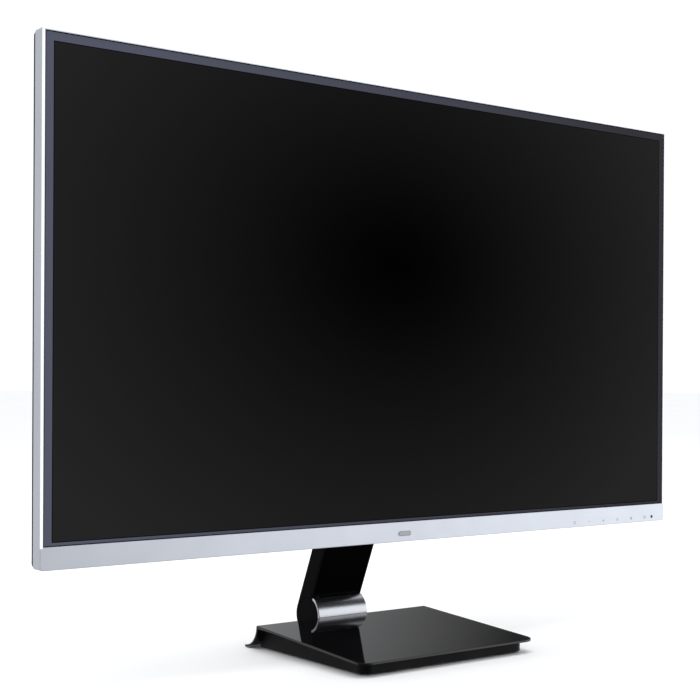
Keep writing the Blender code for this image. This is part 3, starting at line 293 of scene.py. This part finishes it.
foot_rubber = grained(
    "foot_rubber", (0.018, 0.018, 0.018), (0.028, 0.028, 0.027), 1500.0, 0.75, 0.9, 0.00004
)
FOOT_EDGE = 0.00035
for number in range(1, 5):
    low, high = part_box(f"rubber_foot_{number}")
    foot_radius = (high.x - low.x) / 2
    sine, cosine = quarter()
    rim = foot_radius - FOOT_EDGE + FOOT_EDGE * sine
    under = [(r, FOOT_EDGE - FOOT_EDGE * c) for r, c in zip(rim, cosine)]
    top = [(r, high.z - low.z - FOOT_EDGE + FOOT_EDGE * c) for r, c in zip(rim[::-1], cosine[::-1])]
    points, steps = turned(under + top, ((low.x + high.x) / 2, (low.y + high.y) / 2, low.z), "Z")
    closed_piece(
        f"foot_pad_{number}", points, len(under + top), steps, foot_rubber, "stand",
        f"rubber_foot_{number}"
    )


# Weight and bracket. A slab of steel in the tray keeps the screen from tipping it, and a bracket of
# plated steel, screwed to the tray, holds the shaft in two bored ears.
brush_group, brush_in, brush_out = new_group(
    "brushed_lines",
    [("Place", VECTOR), ("Scale", NUMBER), ("Smoothest", NUMBER), ("Roughest", NUMBER)],
    [("Roughness", NUMBER), ("Height", NUMBER)],
)
lines = add(
    brush_group, "ShaderNodeTexNoise", Vector=brush_in.outputs["Place"],
    Scale=brush_in.outputs["Scale"], Detail=5.0
)
brush_group.links.new(
    span(brush_group, lines.outputs["Fac"], brush_in.outputs["Smoothest"], brush_in.outputs["Roughest"]),
    brush_out.inputs["Roughness"],
)
brush_group.links.new(lines.outputs["Fac"], brush_out.inputs["Height"])


def brushed(name, first, second, along, smoothest, roughest, depth):
    """A metal with fine lines along one axis. along is how far the pattern is squeezed on each axis."""
    made, tree, shader, place = new_material(name)
    squeezed = add(tree, "ShaderNodeMapping", Vector=place, Scale=along)
    tone = use_group(
        tree, tone_group, Place=squeezed.outputs["Vector"], Scale=600.0, First=(*first, 1),
        Second=(*second, 1)
    )
    relief = use_group(
        tree, brush_group, Place=squeezed.outputs["Vector"], Scale=2200.0, Smoothest=smoothest,
        Roughest=roughest
    )
    bump = add(tree, "ShaderNodeBump", Height=relief["Height"], Distance=depth, Strength=0.4)
    set_shader(
        tree, shader, Base_Color=tone["Colour"], Roughness=relief["Roughness"],
        Normal=bump.outputs["Normal"], Metallic=1.0
    )
    return made


plated_steel = brushed(
    "plated_steel", (0.46, 0.47, 0.49), (0.54, 0.55, 0.56), (0.05, 1, 1), 0.28, 0.42, 0.00001
)
softened("base_weight", "steel_weight", plated_steel, "stand", 0.0006)
softened("hinge_bracket", "shaft_bracket", plated_steel, "stand", 0.0003)
refinish(plated_steel, "bracket_screw_1", "bracket_screw_2", "arm_screw_1", "arm_screw_2")


# Base plate. One bent steel sheet in mirror black lacquer: a deck that climbs to the back, a sharp
# fold, and a cove that cradles the barrel and ends in a small lip on the desk.
def bent_sheet(top, under, half_width, edge, columns):
    """Rings across a sheet carried along two curves of (y, z) stations on its two faces.

    Each ring crosses the top, rounds one edge, crosses back underneath and rounds the other. Near
    each end the rings shrink along a quarter circle. Returns the points, the rows and the ring
    length."""
    sine, cosine = quarter()

    def with_round_end(top, under, half_width):
        along = top[1] - top[0]
        length = np.linalg.norm(along)
        inward = edge * (1 - cosine)
        step = inward[:, None] * along / length
        first = half_width[0] + (half_width[1] - half_width[0]) * inward / length
        shrink = np.concatenate([edge * (1 - sine), np.zeros(len(top) - 1)])
        return (
            np.concatenate([top[0] + step, top[1:]]),
            np.concatenate([under[0] + step, under[1:]]),
            np.concatenate([first, half_width[1:]]),
            shrink,
        )

    top, under, half_width, near = with_round_end(top, under, half_width)
    top, under, half_width, far = with_round_end(top[::-1], under[::-1], half_width[::-1])
    shrink = (far + np.concatenate([np.zeros(len(far) - len(near)), near[::-1]]))[:, None]
    wall = np.linalg.norm(top - under, axis=1)[:, None]
    up = (top - under) / wall
    middle = (top + under) / 2
    half_width = half_width[:, None]
    flat = (half_width - edge) * np.array(columns)[None]
    corner = edge - shrink
    side = half_width - edge + corner * sine[None, 1:]
    lift = wall / 2 - edge + corner * cosine[None, 1:]
    across = np.concatenate([flat, side, side[:, ::-1], flat[:, ::-1], -side, -side[:, ::-1]], 1)
    level = wall / 2 - shrink
    height = np.concatenate(
        [level + 0 * flat, lift, -lift[:, ::-1], -level + 0 * flat, -lift, lift[:, ::-1]], 1
    )
    spot = middle[:, None, :] + up[:, None, :] * height[:, :, None]
    points = np.concatenate([across[:, :, None], spot], 2)
    return points.reshape(-1, 3), points.shape[0], points.shape[1]


def arc_points(centre, radius, start, end, steps):
    """Points in (y, z) on an arc, counted from +Y towards +Z."""
    angle = np.linspace(start, end, steps + 1)
    return np.array(centre) + radius * np.stack([np.cos(angle), np.sin(angle)], 1)


axis = np.array(next(j for j in frame["joints"] if j["name"] == "tilt")["pos_m"][1:])
plate_low, plate_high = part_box("base_plate")
SHEET = 0.0017
PLATE_FRONT_HEIGHT = 0.0112
PLATE_CORNER = 0.0100
PLATE_EDGE = 0.0004
FOLD = 0.0004

# The deck's top runs straight from the front edge to the fold, rounds the fold on a quarter circle and
# follows the cove's arc about the tilt axis. The underside lies one sheet below it. Half the width
# grows along a quarter circle over each front corner.
cove = axis[1] - SHEET - plate_low.z
front = np.array([plate_low.y, PLATE_FRONT_HEIGHT])
fold = np.array([axis[0] - cove, axis[1]])
run = np.linalg.norm(fold - front)
slope = (fold - front) / run
distance = np.concatenate(
    [PLATE_CORNER * (1 - np.cos(np.linspace(0, math.pi / 2, 13)[3:])), np.linspace(0.025, run - FOLD, 7)]
)
distance = np.concatenate([[0.0], distance])
deck_top = front + distance[:, None] * slope
fold_sine, fold_cosine = quarter(3)
fold_back = -slope[0] * (1 - fold_sine)
fold_drop = -slope[1] * (1 - fold_sine) - (1 - fold_cosine)
fold_top = fold + FOLD * np.stack([fold_back, fold_drop], 1)
cove_top = arc_points(axis, cove, math.pi, 1.5 * math.pi, 26)[1:]
deck_top = np.concatenate([deck_top[:-1], fold_top, cove_top])
meet = math.pi + math.asin(SHEET / (cove + SHEET))
meet_point = arc_points(axis, cove + SHEET, meet, meet, 0)[0]
front_under = front - [0, SHEET]
deck_under = front_under + (distance / run)[:, None] * (meet_point - front_under)
cove_under = arc_points(axis, cove + SHEET, meet, 1.5 * math.pi, 26 + len(fold_top))[1:]
deck_under = np.concatenate([deck_under[:-1], cove_under])
from_front = np.clip(deck_top[:, 0] - front[0], 0, PLATE_CORNER)
plate_half = plate_high.x - PLATE_CORNER + np.sqrt(PLATE_CORNER**2 - (PLATE_CORNER - from_front) ** 2)

gloss_group, gloss_in, gloss_out = new_group(
    "handled_gloss",
    [("Place", VECTOR), ("Clean", NUMBER), ("Smudged", NUMBER)],
    [("Roughness", NUMBER), ("Height", NUMBER)],
)
smears = add(
    gloss_group, "ShaderNodeTexNoise", Vector=gloss_in.outputs["Place"], Scale=38.0, Detail=6.0,
    Roughness=0.62
)
ripple = add(gloss_group, "ShaderNodeTexNoise", Vector=gloss_in.outputs["Place"], Scale=120.0, Detail=1.0)
smudges = span(
    gloss_group, smears.outputs["Fac"], gloss_in.outputs["Clean"], gloss_in.outputs["Smudged"], 0.5, 0.75
)
gloss_group.links.new(smudges, gloss_out.inputs["Roughness"])
gloss_group.links.new(ripple.outputs["Fac"], gloss_out.inputs["Height"])


def mirror_black(name, first, second, clean, smudged, orange_peel, **fixed):
    """Deep gloss black: hardly any colour of its own, faint smears, and the ripple of lacquer."""
    made, tree, shader, place = new_material(name)
    tone = use_group(tree, tone_group, Place=place, Scale=9.0, First=(*first, 1), Second=(*second, 1))
    film = use_group(tree, gloss_group, Place=place, Clean=clean, Smudged=smudged)
    bump = add(tree, "ShaderNodeBump", Height=film["Height"], Distance=orange_peel, Strength=0.15)
    set_shader(
        tree, shader, Base_Color=tone["Colour"], Roughness=film["Roughness"],
        Normal=bump.outputs["Normal"], **fixed
    )
    return made


lacquer = mirror_black(
    "deck_lacquer", (0.004, 0.004, 0.0045), (0.006, 0.006, 0.0065), 0.045, 0.085, 0.00002
)
columns = np.linspace(-1, 1, 13)
points, rows, ring = bent_sheet(deck_top, deck_under, plate_half, PLATE_EDGE, columns)
closed_piece("folded_deck", points, rows, ring, lacquer, "stand", "base_plate")


# Shaft stack. A turned steel shaft with brass friction discs, a dished washer and a hexagon nut,
# which together set how stiffly the screen tilts.
disc_brass = brushed(
    "disc_brass", (0.66, 0.47, 0.20), (0.74, 0.55, 0.27), (1, 0.2, 0.2), 0.25, 0.4, 0.00001
)
refinish(plated_steel, "hinge_shaft", "spring_washer", "hinge_nut")
refinish(disc_brass, "friction_disc_left", "friction_disc_right")


# Barrel cover. A strip of satin chromed metal, brushed along the barrel, that wraps the front of
# the hinge from the foot of the arm to under the deck, with its two ends turned over.
band_low, band_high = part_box("hinge_cover")
BARREL = axis[0] - band_low.y
BARREL_WALL = 0.0020
BARREL_EDGE = 0.0006
BARREL_GAP = 0.0003
ARM_LEAN = math.radians(23.8)
CHROME_END = math.radians(199)
chrome_start = math.pi / 2 + ARM_LEAN + BARREL_GAP / BARREL
satin_chrome = brushed(
    "satin_chrome", (0.64, 0.65, 0.69), (0.655, 0.665, 0.705), (0.02, 2, 2), 0.265, 0.28, 0.000001
)
outer = arc_points(axis, BARREL, chrome_start, CHROME_END, 48)
inner = arc_points(axis, BARREL - BARREL_WALL, chrome_start, CHROME_END, 48)
band_half = np.full(len(outer), band_high.x)
points, rows, ring = bent_sheet(outer, inner, band_half, BARREL_EDGE, np.linspace(-1, 1, 9))
closed_piece("chrome_band", points, rows, ring, satin_chrome, "head", "hinge_cover")


# Arm. Two gloss black mouldings over a steel channel: the rear one runs down into the back half of
# the barrel, the front one is a plain face, and two caps close the barrel's ends.
arm_gloss = mirror_black(
    "arm_gloss", (0.0015, 0.0015, 0.0018), (0.0025, 0.0025, 0.0028), 0.05, 0.10, 0.00002,
    Specular_IOR_Level=0.02
)
softened("arm_rear_cover", "arm_back", arm_gloss, "head", 0.0006, 3)
softened("arm_front_cover", "arm_face", arm_gloss, "head", 0.0005, 3)
softened("end_cap_left", "barrel_cap_left", arm_gloss, "head", 0.0004)
softened("end_cap_right", "barrel_cap_right", arm_gloss, "head", 0.0004)
softened("arm_core", "arm_channel", plated_steel, "head", 0.0003)
softened("mount_plate", "head_carrier", plated_steel, "head", 0.0003)


# Panel. A switched-off display: black under a matt polariser, with the slate border where the
# films stop, and a line of black ink round the glass. Behind it lie films, light guide and pan.
def outline(low, high, radius, steps=6):
    """A rounded rectangle as (x, z) points, anticlockwise from its lower left corner."""
    angle = np.linspace(0, math.pi / 2, steps + 1)
    arcs = []
    corners = (low[0], low[1]), (high[0], low[1]), (high[0], high[1]), (low[0], high[1])
    for quarter_turn, (x, z) in enumerate(corners):
        turn = math.pi + quarter_turn * math.pi / 2
        inward = np.array([1 if x == low[0] else -1, 1 if z == low[1] else -1])
        bow = np.stack([np.cos(turn + angle), np.sin(turn + angle)], 1)
        arcs.append(np.array([x, z]) + inward * radius + radius * bow)
    return np.concatenate(arcs)


def slab(low, high, radius, front_y, back_y, edge, steps=6):
    """A plate across Y with a rounded outline: rings that swell and shrink along quarter circles."""
    sine, cosine = quarter(3)
    inset = np.concatenate([edge * (1 - sine), edge * (1 - sine[::-1])])
    depth = np.concatenate([front_y + edge * (1 - cosine), back_y - edge * (1 - cosine[::-1])])
    rings = []
    for shrink, y in zip(inset, depth):
        loop = outline(np.array(low) + shrink, np.array(high) - shrink, max(radius - shrink, 1e-5), steps)
        rings.append(np.stack([loop[:, 0], np.full(len(loop), y), loop[:, 1]], 1))
    return np.concatenate(rings), len(rings), len(rings[0])


panel_low, panel_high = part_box("lcd_panel")
SLATE_SIDE = 0.0066
SLATE_TOP = 0.0068
SLATE_BOTTOM = 0.0031
lit_half_x = panel_high.x - SLATE_SIDE
lit_half_z = (panel_high.z - SLATE_TOP - panel_low.z - SLATE_BOTTOM) / 2
screen_centre_z = panel_low.z + SLATE_BOTTOM + lit_half_z
glass_centre_z = (panel_low.z + panel_high.z) / 2


def inside_rectangle(tree, place, centre_z, half_width, half_height, fade):
    """1 within a rectangle across X and Z, falling to 0 over the fade outside it."""
    split = add(tree, "ShaderNodeSeparateXYZ", Vector=place)
    reach = []
    across = split.outputs["X"], 0.0, half_width
    upward = split.outputs["Z"], centre_z, half_height
    for socket, centre, half in (across, upward):
        shifted = add(tree, "ShaderNodeMath", {"operation": "SUBTRACT"})
        tree.links.new(socket, shifted.inputs[0])
        shifted.inputs[1].default_value = centre
        size = add(tree, "ShaderNodeMath", {"operation": "ABSOLUTE"})
        tree.links.new(shifted.outputs[0], size.inputs[0])
        past = add(tree, "ShaderNodeMath", {"operation": "SUBTRACT"})
        tree.links.new(size.outputs[0], past.inputs[0])
        past.inputs[1].default_value = half
        reach.append(past.outputs[0])
    furthest = add(tree, "ShaderNodeMath", {"operation": "MAXIMUM"})
    tree.links.new(reach[0], furthest.inputs[0])
    tree.links.new(reach[1], furthest.inputs[1])
    return span(tree, furthest.outputs[0], 1.0, 0.0, 0.0, fade)


def mix_colours(tree, share, first, second):
    """Blends two colours, each a socket or a plain colour."""
    made = tree.nodes.new("ShaderNodeMix")
    made.data_type = "RGBA"
    tree.links.new(share, made.inputs[0])
    for socket, value in ((made.inputs[6], first), (made.inputs[7], second)):
        if isinstance(value, bpy.types.NodeSocket):
            tree.links.new(value, socket)
        else:
            socket.default_value = (*value, 1)
    return made.outputs[2]


screen_off, tree, shader, place = new_material("screen_off")
# The border's own colour is slate; its darkening from left to right is painted shade.
BORDER_SLATE = (0.077, 0.081, 0.112)
BORDER_PAINTED_SHADE = (0.031, 0.030, 0.036)
INK = (0.0015, 0.0015, 0.002)
# Painted sheen: the active area's colour rises from near black at one spot to a faint grey towards its
# edges, room light on the matt film painted into the base colour.
PAINTED_SHEEN_CENTRE = (-0.011, screen_centre_z + 0.034)
SQUASH = 1.33
PAINTED_SHEEN_REACH = 0.36
PAINTED_SHEEN_RISE = 1.35
PAINTED_SHEEN_LOW = (0.0005, 0.0005, 0.0005)
PAINTED_SHEEN_HIGH = (0.0158, 0.0158, 0.0160)
PAINTED_SHADE_FROM, PAINTED_SHADE_TO = -0.28, 0.25
centred = add(tree, "ShaderNodeMapping", Vector=place, Scale=(1.0, 0.0, SQUASH))
centred.inputs["Location"].default_value = (-PAINTED_SHEEN_CENTRE[0], 0, -PAINTED_SHEEN_CENTRE[1] * SQUASH)
spread = add(tree, "ShaderNodeVectorMath", {"operation": "LENGTH"})
tree.links.new(centred.outputs["Vector"], spread.inputs[0])
painted_sheen_share = add(tree, "ShaderNodeMath", {"operation": "POWER"})
tree.links.new(span(tree, spread.outputs["Value"], 0.0, 1.0, 0.0, PAINTED_SHEEN_REACH), painted_sheen_share.inputs[0])
painted_sheen_share.inputs[1].default_value = PAINTED_SHEEN_RISE
# The painted sheen's colour, from its dark centre out to its lighter edges.
painted_sheen = mix_colours(tree, painted_sheen_share.outputs[0], PAINTED_SHEEN_LOW, PAINTED_SHEEN_HIGH)
split = add(tree, "ShaderNodeSeparateXYZ", Vector=place)
# Painted shade across the border: slate on the left, darker to the right.
painted_shade_share = span(tree, split.outputs["X"], 0.0, 1.0, PAINTED_SHADE_FROM, PAINTED_SHADE_TO)
border = mix_colours(tree, painted_shade_share, BORDER_SLATE, BORDER_PAINTED_SHADE)
OUTER_LINE = 0.0005
INNER_LINE = 0.0006
FADE = 0.0002
glass_half_z = (panel_high.z - panel_low.z) / 2
in_ink = inside_rectangle(
    tree, place, glass_centre_z, panel_high.x - OUTER_LINE, glass_half_z - OUTER_LINE, FADE
)
in_line = inside_rectangle(
    tree, place, screen_centre_z, lit_half_x + INNER_LINE, lit_half_z + INNER_LINE, FADE
)
in_active = inside_rectangle(tree, place, screen_centre_z, lit_half_x, lit_half_z, FADE)
colour = mix_colours(tree, in_ink, INK, border)
colour = mix_colours(tree, in_line, colour, INK)
colour = mix_colours(tree, in_active, colour, painted_sheen)
matt = use_group(tree, grain_group, Place=place, Scale=5200.0, Smoothest=0.30, Roughest=0.36)
bump = add(tree, "ShaderNodeBump", Height=matt["Height"], Distance=0.000004, Strength=0.3)
set_shader(
    tree, shader, Base_Color=colour, Roughness=matt["Roughness"], Normal=bump.outputs["Normal"],
    Specular_IOR_Level=0.0,
)
GLASS_CORNER = 0.0006
GLASS_EDGE = 0.0002
glass_low, glass_high = (panel_low.x, panel_low.z), (panel_high.x, panel_high.z)
points, rows, ring = slab(glass_low, glass_high, GLASS_CORNER, panel_low.y, panel_high.y, GLASS_EDGE)
closed_piece("display_glass", points, rows, ring, screen_off, "head", "lcd_panel")

white_film = grained("white_film", (0.80, 0.80, 0.78), (0.84, 0.84, 0.82), 3000.0, 0.45, 0.6, 0.000005)
clear_acrylic = grained(
    "clear_acrylic", (0.82, 0.86, 0.88), (0.86, 0.89, 0.90), 900.0, 0.08, 0.14, 0.000002
)
board_green = grained(
    "board_green", (0.012, 0.085, 0.035), (0.018, 0.11, 0.045), 1400.0, 0.3, 0.5, 0.00001
)
refinish(white_film, "optical_films")
refinish(clear_acrylic, "light_guide")
refinish(board_green, "led_strip", "button_board", "main_board", "power_board", "timing_board")
refinish(
    plated_steel, "panel_chassis", "cover_screw_1", "cover_screw_2", "cover_screw_3", "cover_screw_4"
)


# Rear cover. A black textured moulding: a thin edge, a shallow dish, and a raised middle that holds
# the electronics, with vents, a 100 mm mounting square and a pocket for the plugs.
cover_black = grained(
    "cover_black", (0.009, 0.009, 0.010), (0.013, 0.013, 0.014), 2200.0, 0.44, 0.56, 0.00003,
    Specular_IOR_Level=0.25
)
softened("rear_cover", "back_shell", cover_black, "head", 0.0003)
softened("port_recess", "plug_pocket", cover_black, "head", 0.0003)
insert_brass = brushed(
    "insert_brass", (0.66, 0.47, 0.20), (0.74, 0.55, 0.27), (1, 0.2, 1), 0.25, 0.4, 0.00001
)
refinish(insert_brass, "mount_insert_1", "mount_insert_2", "mount_insert_3", "mount_insert_4")


# Electronics. The sockets hang from the main board with their mouths down, and a flat flexible
# cable joins the main board to the timing board.
socket_black = grained(
    "socket_black", (0.012, 0.012, 0.013), (0.018, 0.018, 0.019), 2600.0, 0.35, 0.5, 0.00002
)
cable_white = grained("cable_white", (0.66, 0.66, 0.62), (0.72, 0.72, 0.68), 900.0, 0.4, 0.55, 0.00001)
refinish(socket_black, "power_socket", "audio_socket")
refinish(plated_steel, "hdmi_socket", "displayport_socket")
refinish(cable_white, "ribbon_cable")


# Bezel. One silver moulding with a narrow rim, flat sides and a deep chin, sprayed in a finely
# flaked satin paint. The six keys are cut from the same colour and pressed from below.
satin_silver, tree, shader, place = new_material("satin_silver")
head_low, head_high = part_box("front_bezel")
RIM = 0.0019
RIM_BLEND = 0.0004
UNDER_EDGE = 0.0003
SILVER_FIRST = (0.58, 0.605, 0.66, 1)
SILVER_SECOND = (0.60, 0.628, 0.685, 1)
# Painted highlight: the front of the narrow rim is coloured near white and made less metallic, light
# caught by its rounded edge.
RIM_PAINTED_HIGHLIGHT = (0.90, 0.92, 0.95)
# Painted shade: a thin band along the underside's edge is blended towards grey.
UNDER_PAINTED_SHADE = (0.22, 0.225, 0.24)
tone = use_group(tree, tone_group, Place=place, Scale=14.0, First=SILVER_FIRST, Second=SILVER_SECOND)
flake = use_group(tree, grain_group, Place=place, Scale=5200.0, Smoothest=0.30, Roughest=0.36)
split = add(tree, "ShaderNodeSeparateXYZ", Vector=place)
frame_half_z = (head_high.z - panel_low.z) / 2
off_rim = inside_rectangle(
    tree, place, head_high.z - RIM - frame_half_z, head_high.x - RIM, frame_half_z + RIM_BLEND, FADE
)
face_y = head_low.y + RIM_BLEND
in_front = span(tree, split.outputs["Y"], 1.0, 0.0, face_y, face_y + RIM_BLEND)
chin_z = panel_low.z - 3 * RIM_BLEND
above_chin = span(tree, split.outputs["Z"], 0.0, 1.0, chin_z, chin_z + RIM_BLEND)
rim = add(tree, "ShaderNodeMath", {"operation": "SUBTRACT"})
rim.inputs[0].default_value = 1.0
tree.links.new(off_rim, rim.inputs[1])
cut = add(tree, "ShaderNodeMath", {"operation": "MULTIPLY"})
tree.links.new(rim.outputs[0], cut.inputs[0])
tree.links.new(in_front, cut.inputs[1])
# Where the painted highlight lies: the rim's front, above the chin.
painted_highlight_share = add(tree, "ShaderNodeMath", {"operation": "MULTIPLY"})
tree.links.new(cut.outputs[0], painted_highlight_share.inputs[0])
tree.links.new(above_chin, painted_highlight_share.inputs[1])
bump = add(tree, "ShaderNodeBump", Height=flake["Height"], Distance=0.000004, Strength=0.6)
# The painted shade along the bottom edge, strongest at the lowest point.
edge_z = head_low.z + UNDER_EDGE
painted_shade_under = span(tree, split.outputs["Z"], 0.45, 0.0, edge_z, edge_z + UNDER_EDGE)
body_colour = mix_colours(tree, painted_shade_under, tone["Colour"], UNDER_PAINTED_SHADE)
set_shader(
    tree, shader, Base_Color=mix_colours(tree, painted_highlight_share.outputs[0], body_colour, RIM_PAINTED_HIGHLIGHT),
    Metallic=span(tree, painted_highlight_share.outputs[0], 0.75, 0.0, 0.0, 1.0), Roughness=flake["Roughness"],
    Normal=bump.outputs["Normal"],
)
softened("front_bezel", "silver_bezel", satin_silver, "head", 0.00025)
KEYS = ("menu", "minus", "plus", "source", "auto", "power")
for key in KEYS:
    softened(f"button_{key}", f"{key}_key", satin_silver, f"{key}_key", 0.0002)


# Badge. A plain bar with round ends, brushed along its length and glued into a shallow seat in the
# middle of the chin.
badge_low, badge_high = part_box("badge")
BADGE_EDGE = 0.00015
badge_end = (badge_high.z - badge_low.z) / 2 - 0.00001
badge_from, badge_to = (badge_low.x, badge_low.z), (badge_high.x, badge_high.z)
points, rows, ring = slab(badge_from, badge_to, badge_end, badge_low.y, badge_high.y, BADGE_EDGE, 10)
badge_metal = brushed(
    "badge_metal", (0.30, 0.31, 0.33), (0.36, 0.37, 0.39), (0.05, 1, 1), 0.22, 0.32, 0.00001
)
closed_piece("plain_badge", points, rows, ring, badge_metal, "head", "badge")


# Key marks. Faint grey signs printed over the keys on the front of the chin: three bars, minus, plus,
# a screen, two rings and a switch, each a film of ink as thick as a coat of paint.
MARK = 0.0026
MARK_LINE = 0.00032
INK_PROUD = 0.00003
INK_SUNK = 0.00005
MARK_Z = 0.0934
mark_grey = grained("mark_grey", (0.16, 0.16, 0.17), (0.19, 0.19, 0.20), 3000.0, 0.5, 0.6, 0.000002)


def ink_loops(outer, inner, x, z):
    """The film between two loops of (x, z) points of equal length: four rings joined in a circle."""
    front_y, back_y = head_low.y - INK_PROUD, head_low.y + INK_SUNK
    rings = [(outer, front_y), (outer, back_y), (inner, back_y), (inner, front_y)]
    spots = [np.stack([loop[:, 0] + x, np.full(len(loop), y), loop[:, 1] + z], 1) for loop, y in rings]
    return np.concatenate(spots), quads(5, len(outer)) % (4 * len(outer))


def ink_bar(width, height, x, z):
    """A closed film of ink with four corners."""
    half = np.array([width, height]) / 2
    corners = np.array([[-1, -1], [1, -1], [1, 1], [-1, 1]]) * half
    return ink_loops(corners, corners * 0.02, x, z)


def ink_ring(radius, x, z, sides=24, turn=0.0):
    """A closed ring of ink, as wide as a drawn line."""
    angle = np.linspace(0, 2 * math.pi, sides, endpoint=False) + turn
    loop = np.stack([np.cos(angle), np.sin(angle)], 1)
    return ink_loops(loop * radius, loop * (radius - MARK_LINE), x, z)


def key_mark(name, *shapes):
    """One printed sign from its closed films."""
    first = np.cumsum([0] + [len(points) for points, faces in shapes])
    points = np.concatenate([points for points, faces in shapes])
    faces = np.concatenate([faces + start for (spots, faces), start in zip(shapes, first)])
    mesh = bpy.data.meshes.new(name)
    mesh.from_pydata(points.tolist(), [], faces.tolist())
    outward(mesh)
    sign = bpy.data.objects.new(name, mesh)
    scene.collection.objects.link(sign)
    settle(sign, mark_grey, "head")


BAR_STEP = MARK * 0.38
SHORT_BAR = MARK * 0.4
RING = MARK * 0.5
INNER_RING = MARK * 0.22
SCREEN = MARK * 0.62
JOIN = 0.00002
mark_x = {}
for key in KEYS:
    low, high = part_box(f"button_{key}")
    mark_x[key] = (low.x + high.x) / 2
key_mark(
    "menu_mark",
    *(ink_bar(MARK, MARK_LINE, mark_x["menu"], MARK_Z + step * BAR_STEP) for step in (-1, 0, 1))
)
key_mark("minus_mark", ink_bar(MARK, MARK_LINE, mark_x["minus"], MARK_Z))
plus_arm = (MARK - MARK_LINE) / 2 - 2 * JOIN
plus_reach = (MARK + MARK_LINE) / 4 + JOIN
key_mark(
    "plus_mark", ink_bar(MARK, MARK_LINE, mark_x["plus"], MARK_Z),
    ink_bar(MARK_LINE, plus_arm, mark_x["plus"], MARK_Z + plus_reach),
    ink_bar(MARK_LINE, plus_arm, mark_x["plus"], MARK_Z - plus_reach),
)
key_mark(
    "source_mark", ink_ring(SCREEN, mark_x["source"], MARK_Z, 4, math.pi / 4),
    ink_bar(SHORT_BAR, MARK_LINE, mark_x["source"], MARK_Z),
)
key_mark(
    "auto_mark", ink_ring(RING, mark_x["auto"], MARK_Z),
    ink_ring(INNER_RING, mark_x["auto"], MARK_Z, 16)
)
key_mark(
    "power_mark", ink_ring(RING, mark_x["power"], MARK_Z),
    ink_bar(MARK_LINE, SHORT_BAR, mark_x["power"], MARK_Z + SHORT_BAR / 4),
)


# Status light. A small dark lens at the end of the row of marks, moulded from smoked clear plastic
# with a slightly domed face and pressed into its hole in the chin.
light_black = mirror_black(
    "light_lens", (0.010, 0.011, 0.016), (0.014, 0.015, 0.022), 0.08, 0.14, 0.00001
)
light_low, light_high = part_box("status_light")
LENS_CROWN = 0.0003
LENS_POLE = 0.02
light_radius = (light_high.x - light_low.x) / 2
light_depth = light_high.y - light_low.y
light_centre = ((light_low.x + light_high.x) / 2, light_low.y, (light_low.z + light_high.z) / 2)
sine, cosine = quarter(4)
dome = [(light_radius * max(s, LENS_POLE), LENS_CROWN * (1 - c)) for s, c in zip(sine, cosine)]
lens = dome + [(light_radius, light_depth), (light_radius * LENS_POLE, light_depth)]
points, steps = turned(lens, light_centre, "Y", 32)
closed_piece("light_lens", points, len(lens), steps, light_black, "head", "status_light")


# Studio. A plain white floor, one broad soft light overhead, an even white room, and walls that only
# reflections see: bright to the right, fainter behind, dark elsewhere.
def softbox(name, place, aim, size, watts):
    """A rectangular soft light that faces its aim."""
    lamp = bpy.data.lights.new(name, "AREA")
    lamp.shape = "RECTANGLE"
    lamp.size, lamp.size_y = size
    lamp.energy = watts
    made = bpy.data.objects.new(name, lamp)
    scene.collection.objects.link(made)
    place = np.array(place, float)
    back = place - np.array(aim, float)
    back /= np.linalg.norm(back)
    side = np.cross((0, 0, 1), back)
    side /= np.linalg.norm(side)
    over = np.cross(back, side)
    made.matrix_world = Matrix(np.vstack([np.stack([side, over, back, place], 1), [0, 0, 0, 1]]).tolist())


softbox("overhead", (0.0, -0.1, 2.6), (0, 0.01, 0), (2.4, 2.0), 34)

world = bpy.data.worlds.new("studio")
world.use_nodes = True
scene.world = world
tree = world.node_tree
toward = tree.nodes.new("ShaderNodeTexCoord").outputs["Generated"]


def lit_side(direction, start, end, strength):
    """How bright the studio walls are, rising as a reflection turns towards one side of the room."""
    aim = add(tree, "ShaderNodeVectorMath", {"operation": "DOT_PRODUCT"})
    tree.links.new(toward, aim.inputs[0])
    aim.inputs[1].default_value = direction
    return span(tree, aim.outputs["Value"], 0.0, strength, start, end)


def total(first, second):
    """The sum of two values."""
    made = add(tree, "ShaderNodeMath", {"operation": "ADD"})
    for socket, value in zip(made.inputs, (first, second)):
        if isinstance(value, bpy.types.NodeSocket):
            tree.links.new(value, socket)
        else:
            socket.default_value = value
    return made.outputs[0]


RIGHT_WALL = (0.93, -0.36, 0.10)
REAR_WALL = (-0.45, 0.88, 0.10)
DARKEST_WALL = 0.05
ROOM = 1.06
ROOM_TINT = (0.97, 0.98, 1.0, 1)
walls = total(lit_side(RIGHT_WALL, 0.45, 1.0, 1.80), lit_side(REAR_WALL, 0.343, 0.53, 0.60))
walls = total(walls, DARKEST_WALL)
rays = tree.nodes.new("ShaderNodeLightPath")
level = tree.nodes.new("ShaderNodeMix")
tree.links.new(rays.outputs["Is Glossy Ray"], level.inputs[0])
level.inputs[2].default_value = ROOM
tree.links.new(walls, level.inputs[3])
tree.links.new(level.outputs[0], tree.nodes["Background"].inputs["Strength"])
tree.nodes["Background"].inputs["Color"].default_value = ROOM_TINT

floor_mesh = bpy.data.meshes.new("floor")
FLOOR_REACH = 30
floor_corners = [(x * FLOOR_REACH, y * FLOOR_REACH, 0) for x, y in ((-1, -1), (1, -1), (1, 1), (-1, 1))]
floor_mesh.from_pydata(floor_corners, [], [(0, 1, 2, 3)])
floor = bpy.data.objects.new("floor", floor_mesh)
scene.collection.objects.link(floor)
floor_white, tree, shader, place = new_material("floor_white")
tone = use_group(
    tree, tone_group, Place=place, Scale=0.6, First=(0.92, 0.92, 0.92, 1), Second=(0.94, 0.94, 0.94, 1)
)
set_shader(tree, shader, Base_Color=tone["Colour"], Roughness=0.6, Specular_IOR_Level=0.0)
floor_mesh.materials.append(floor_white)
floor.visible_glossy = False
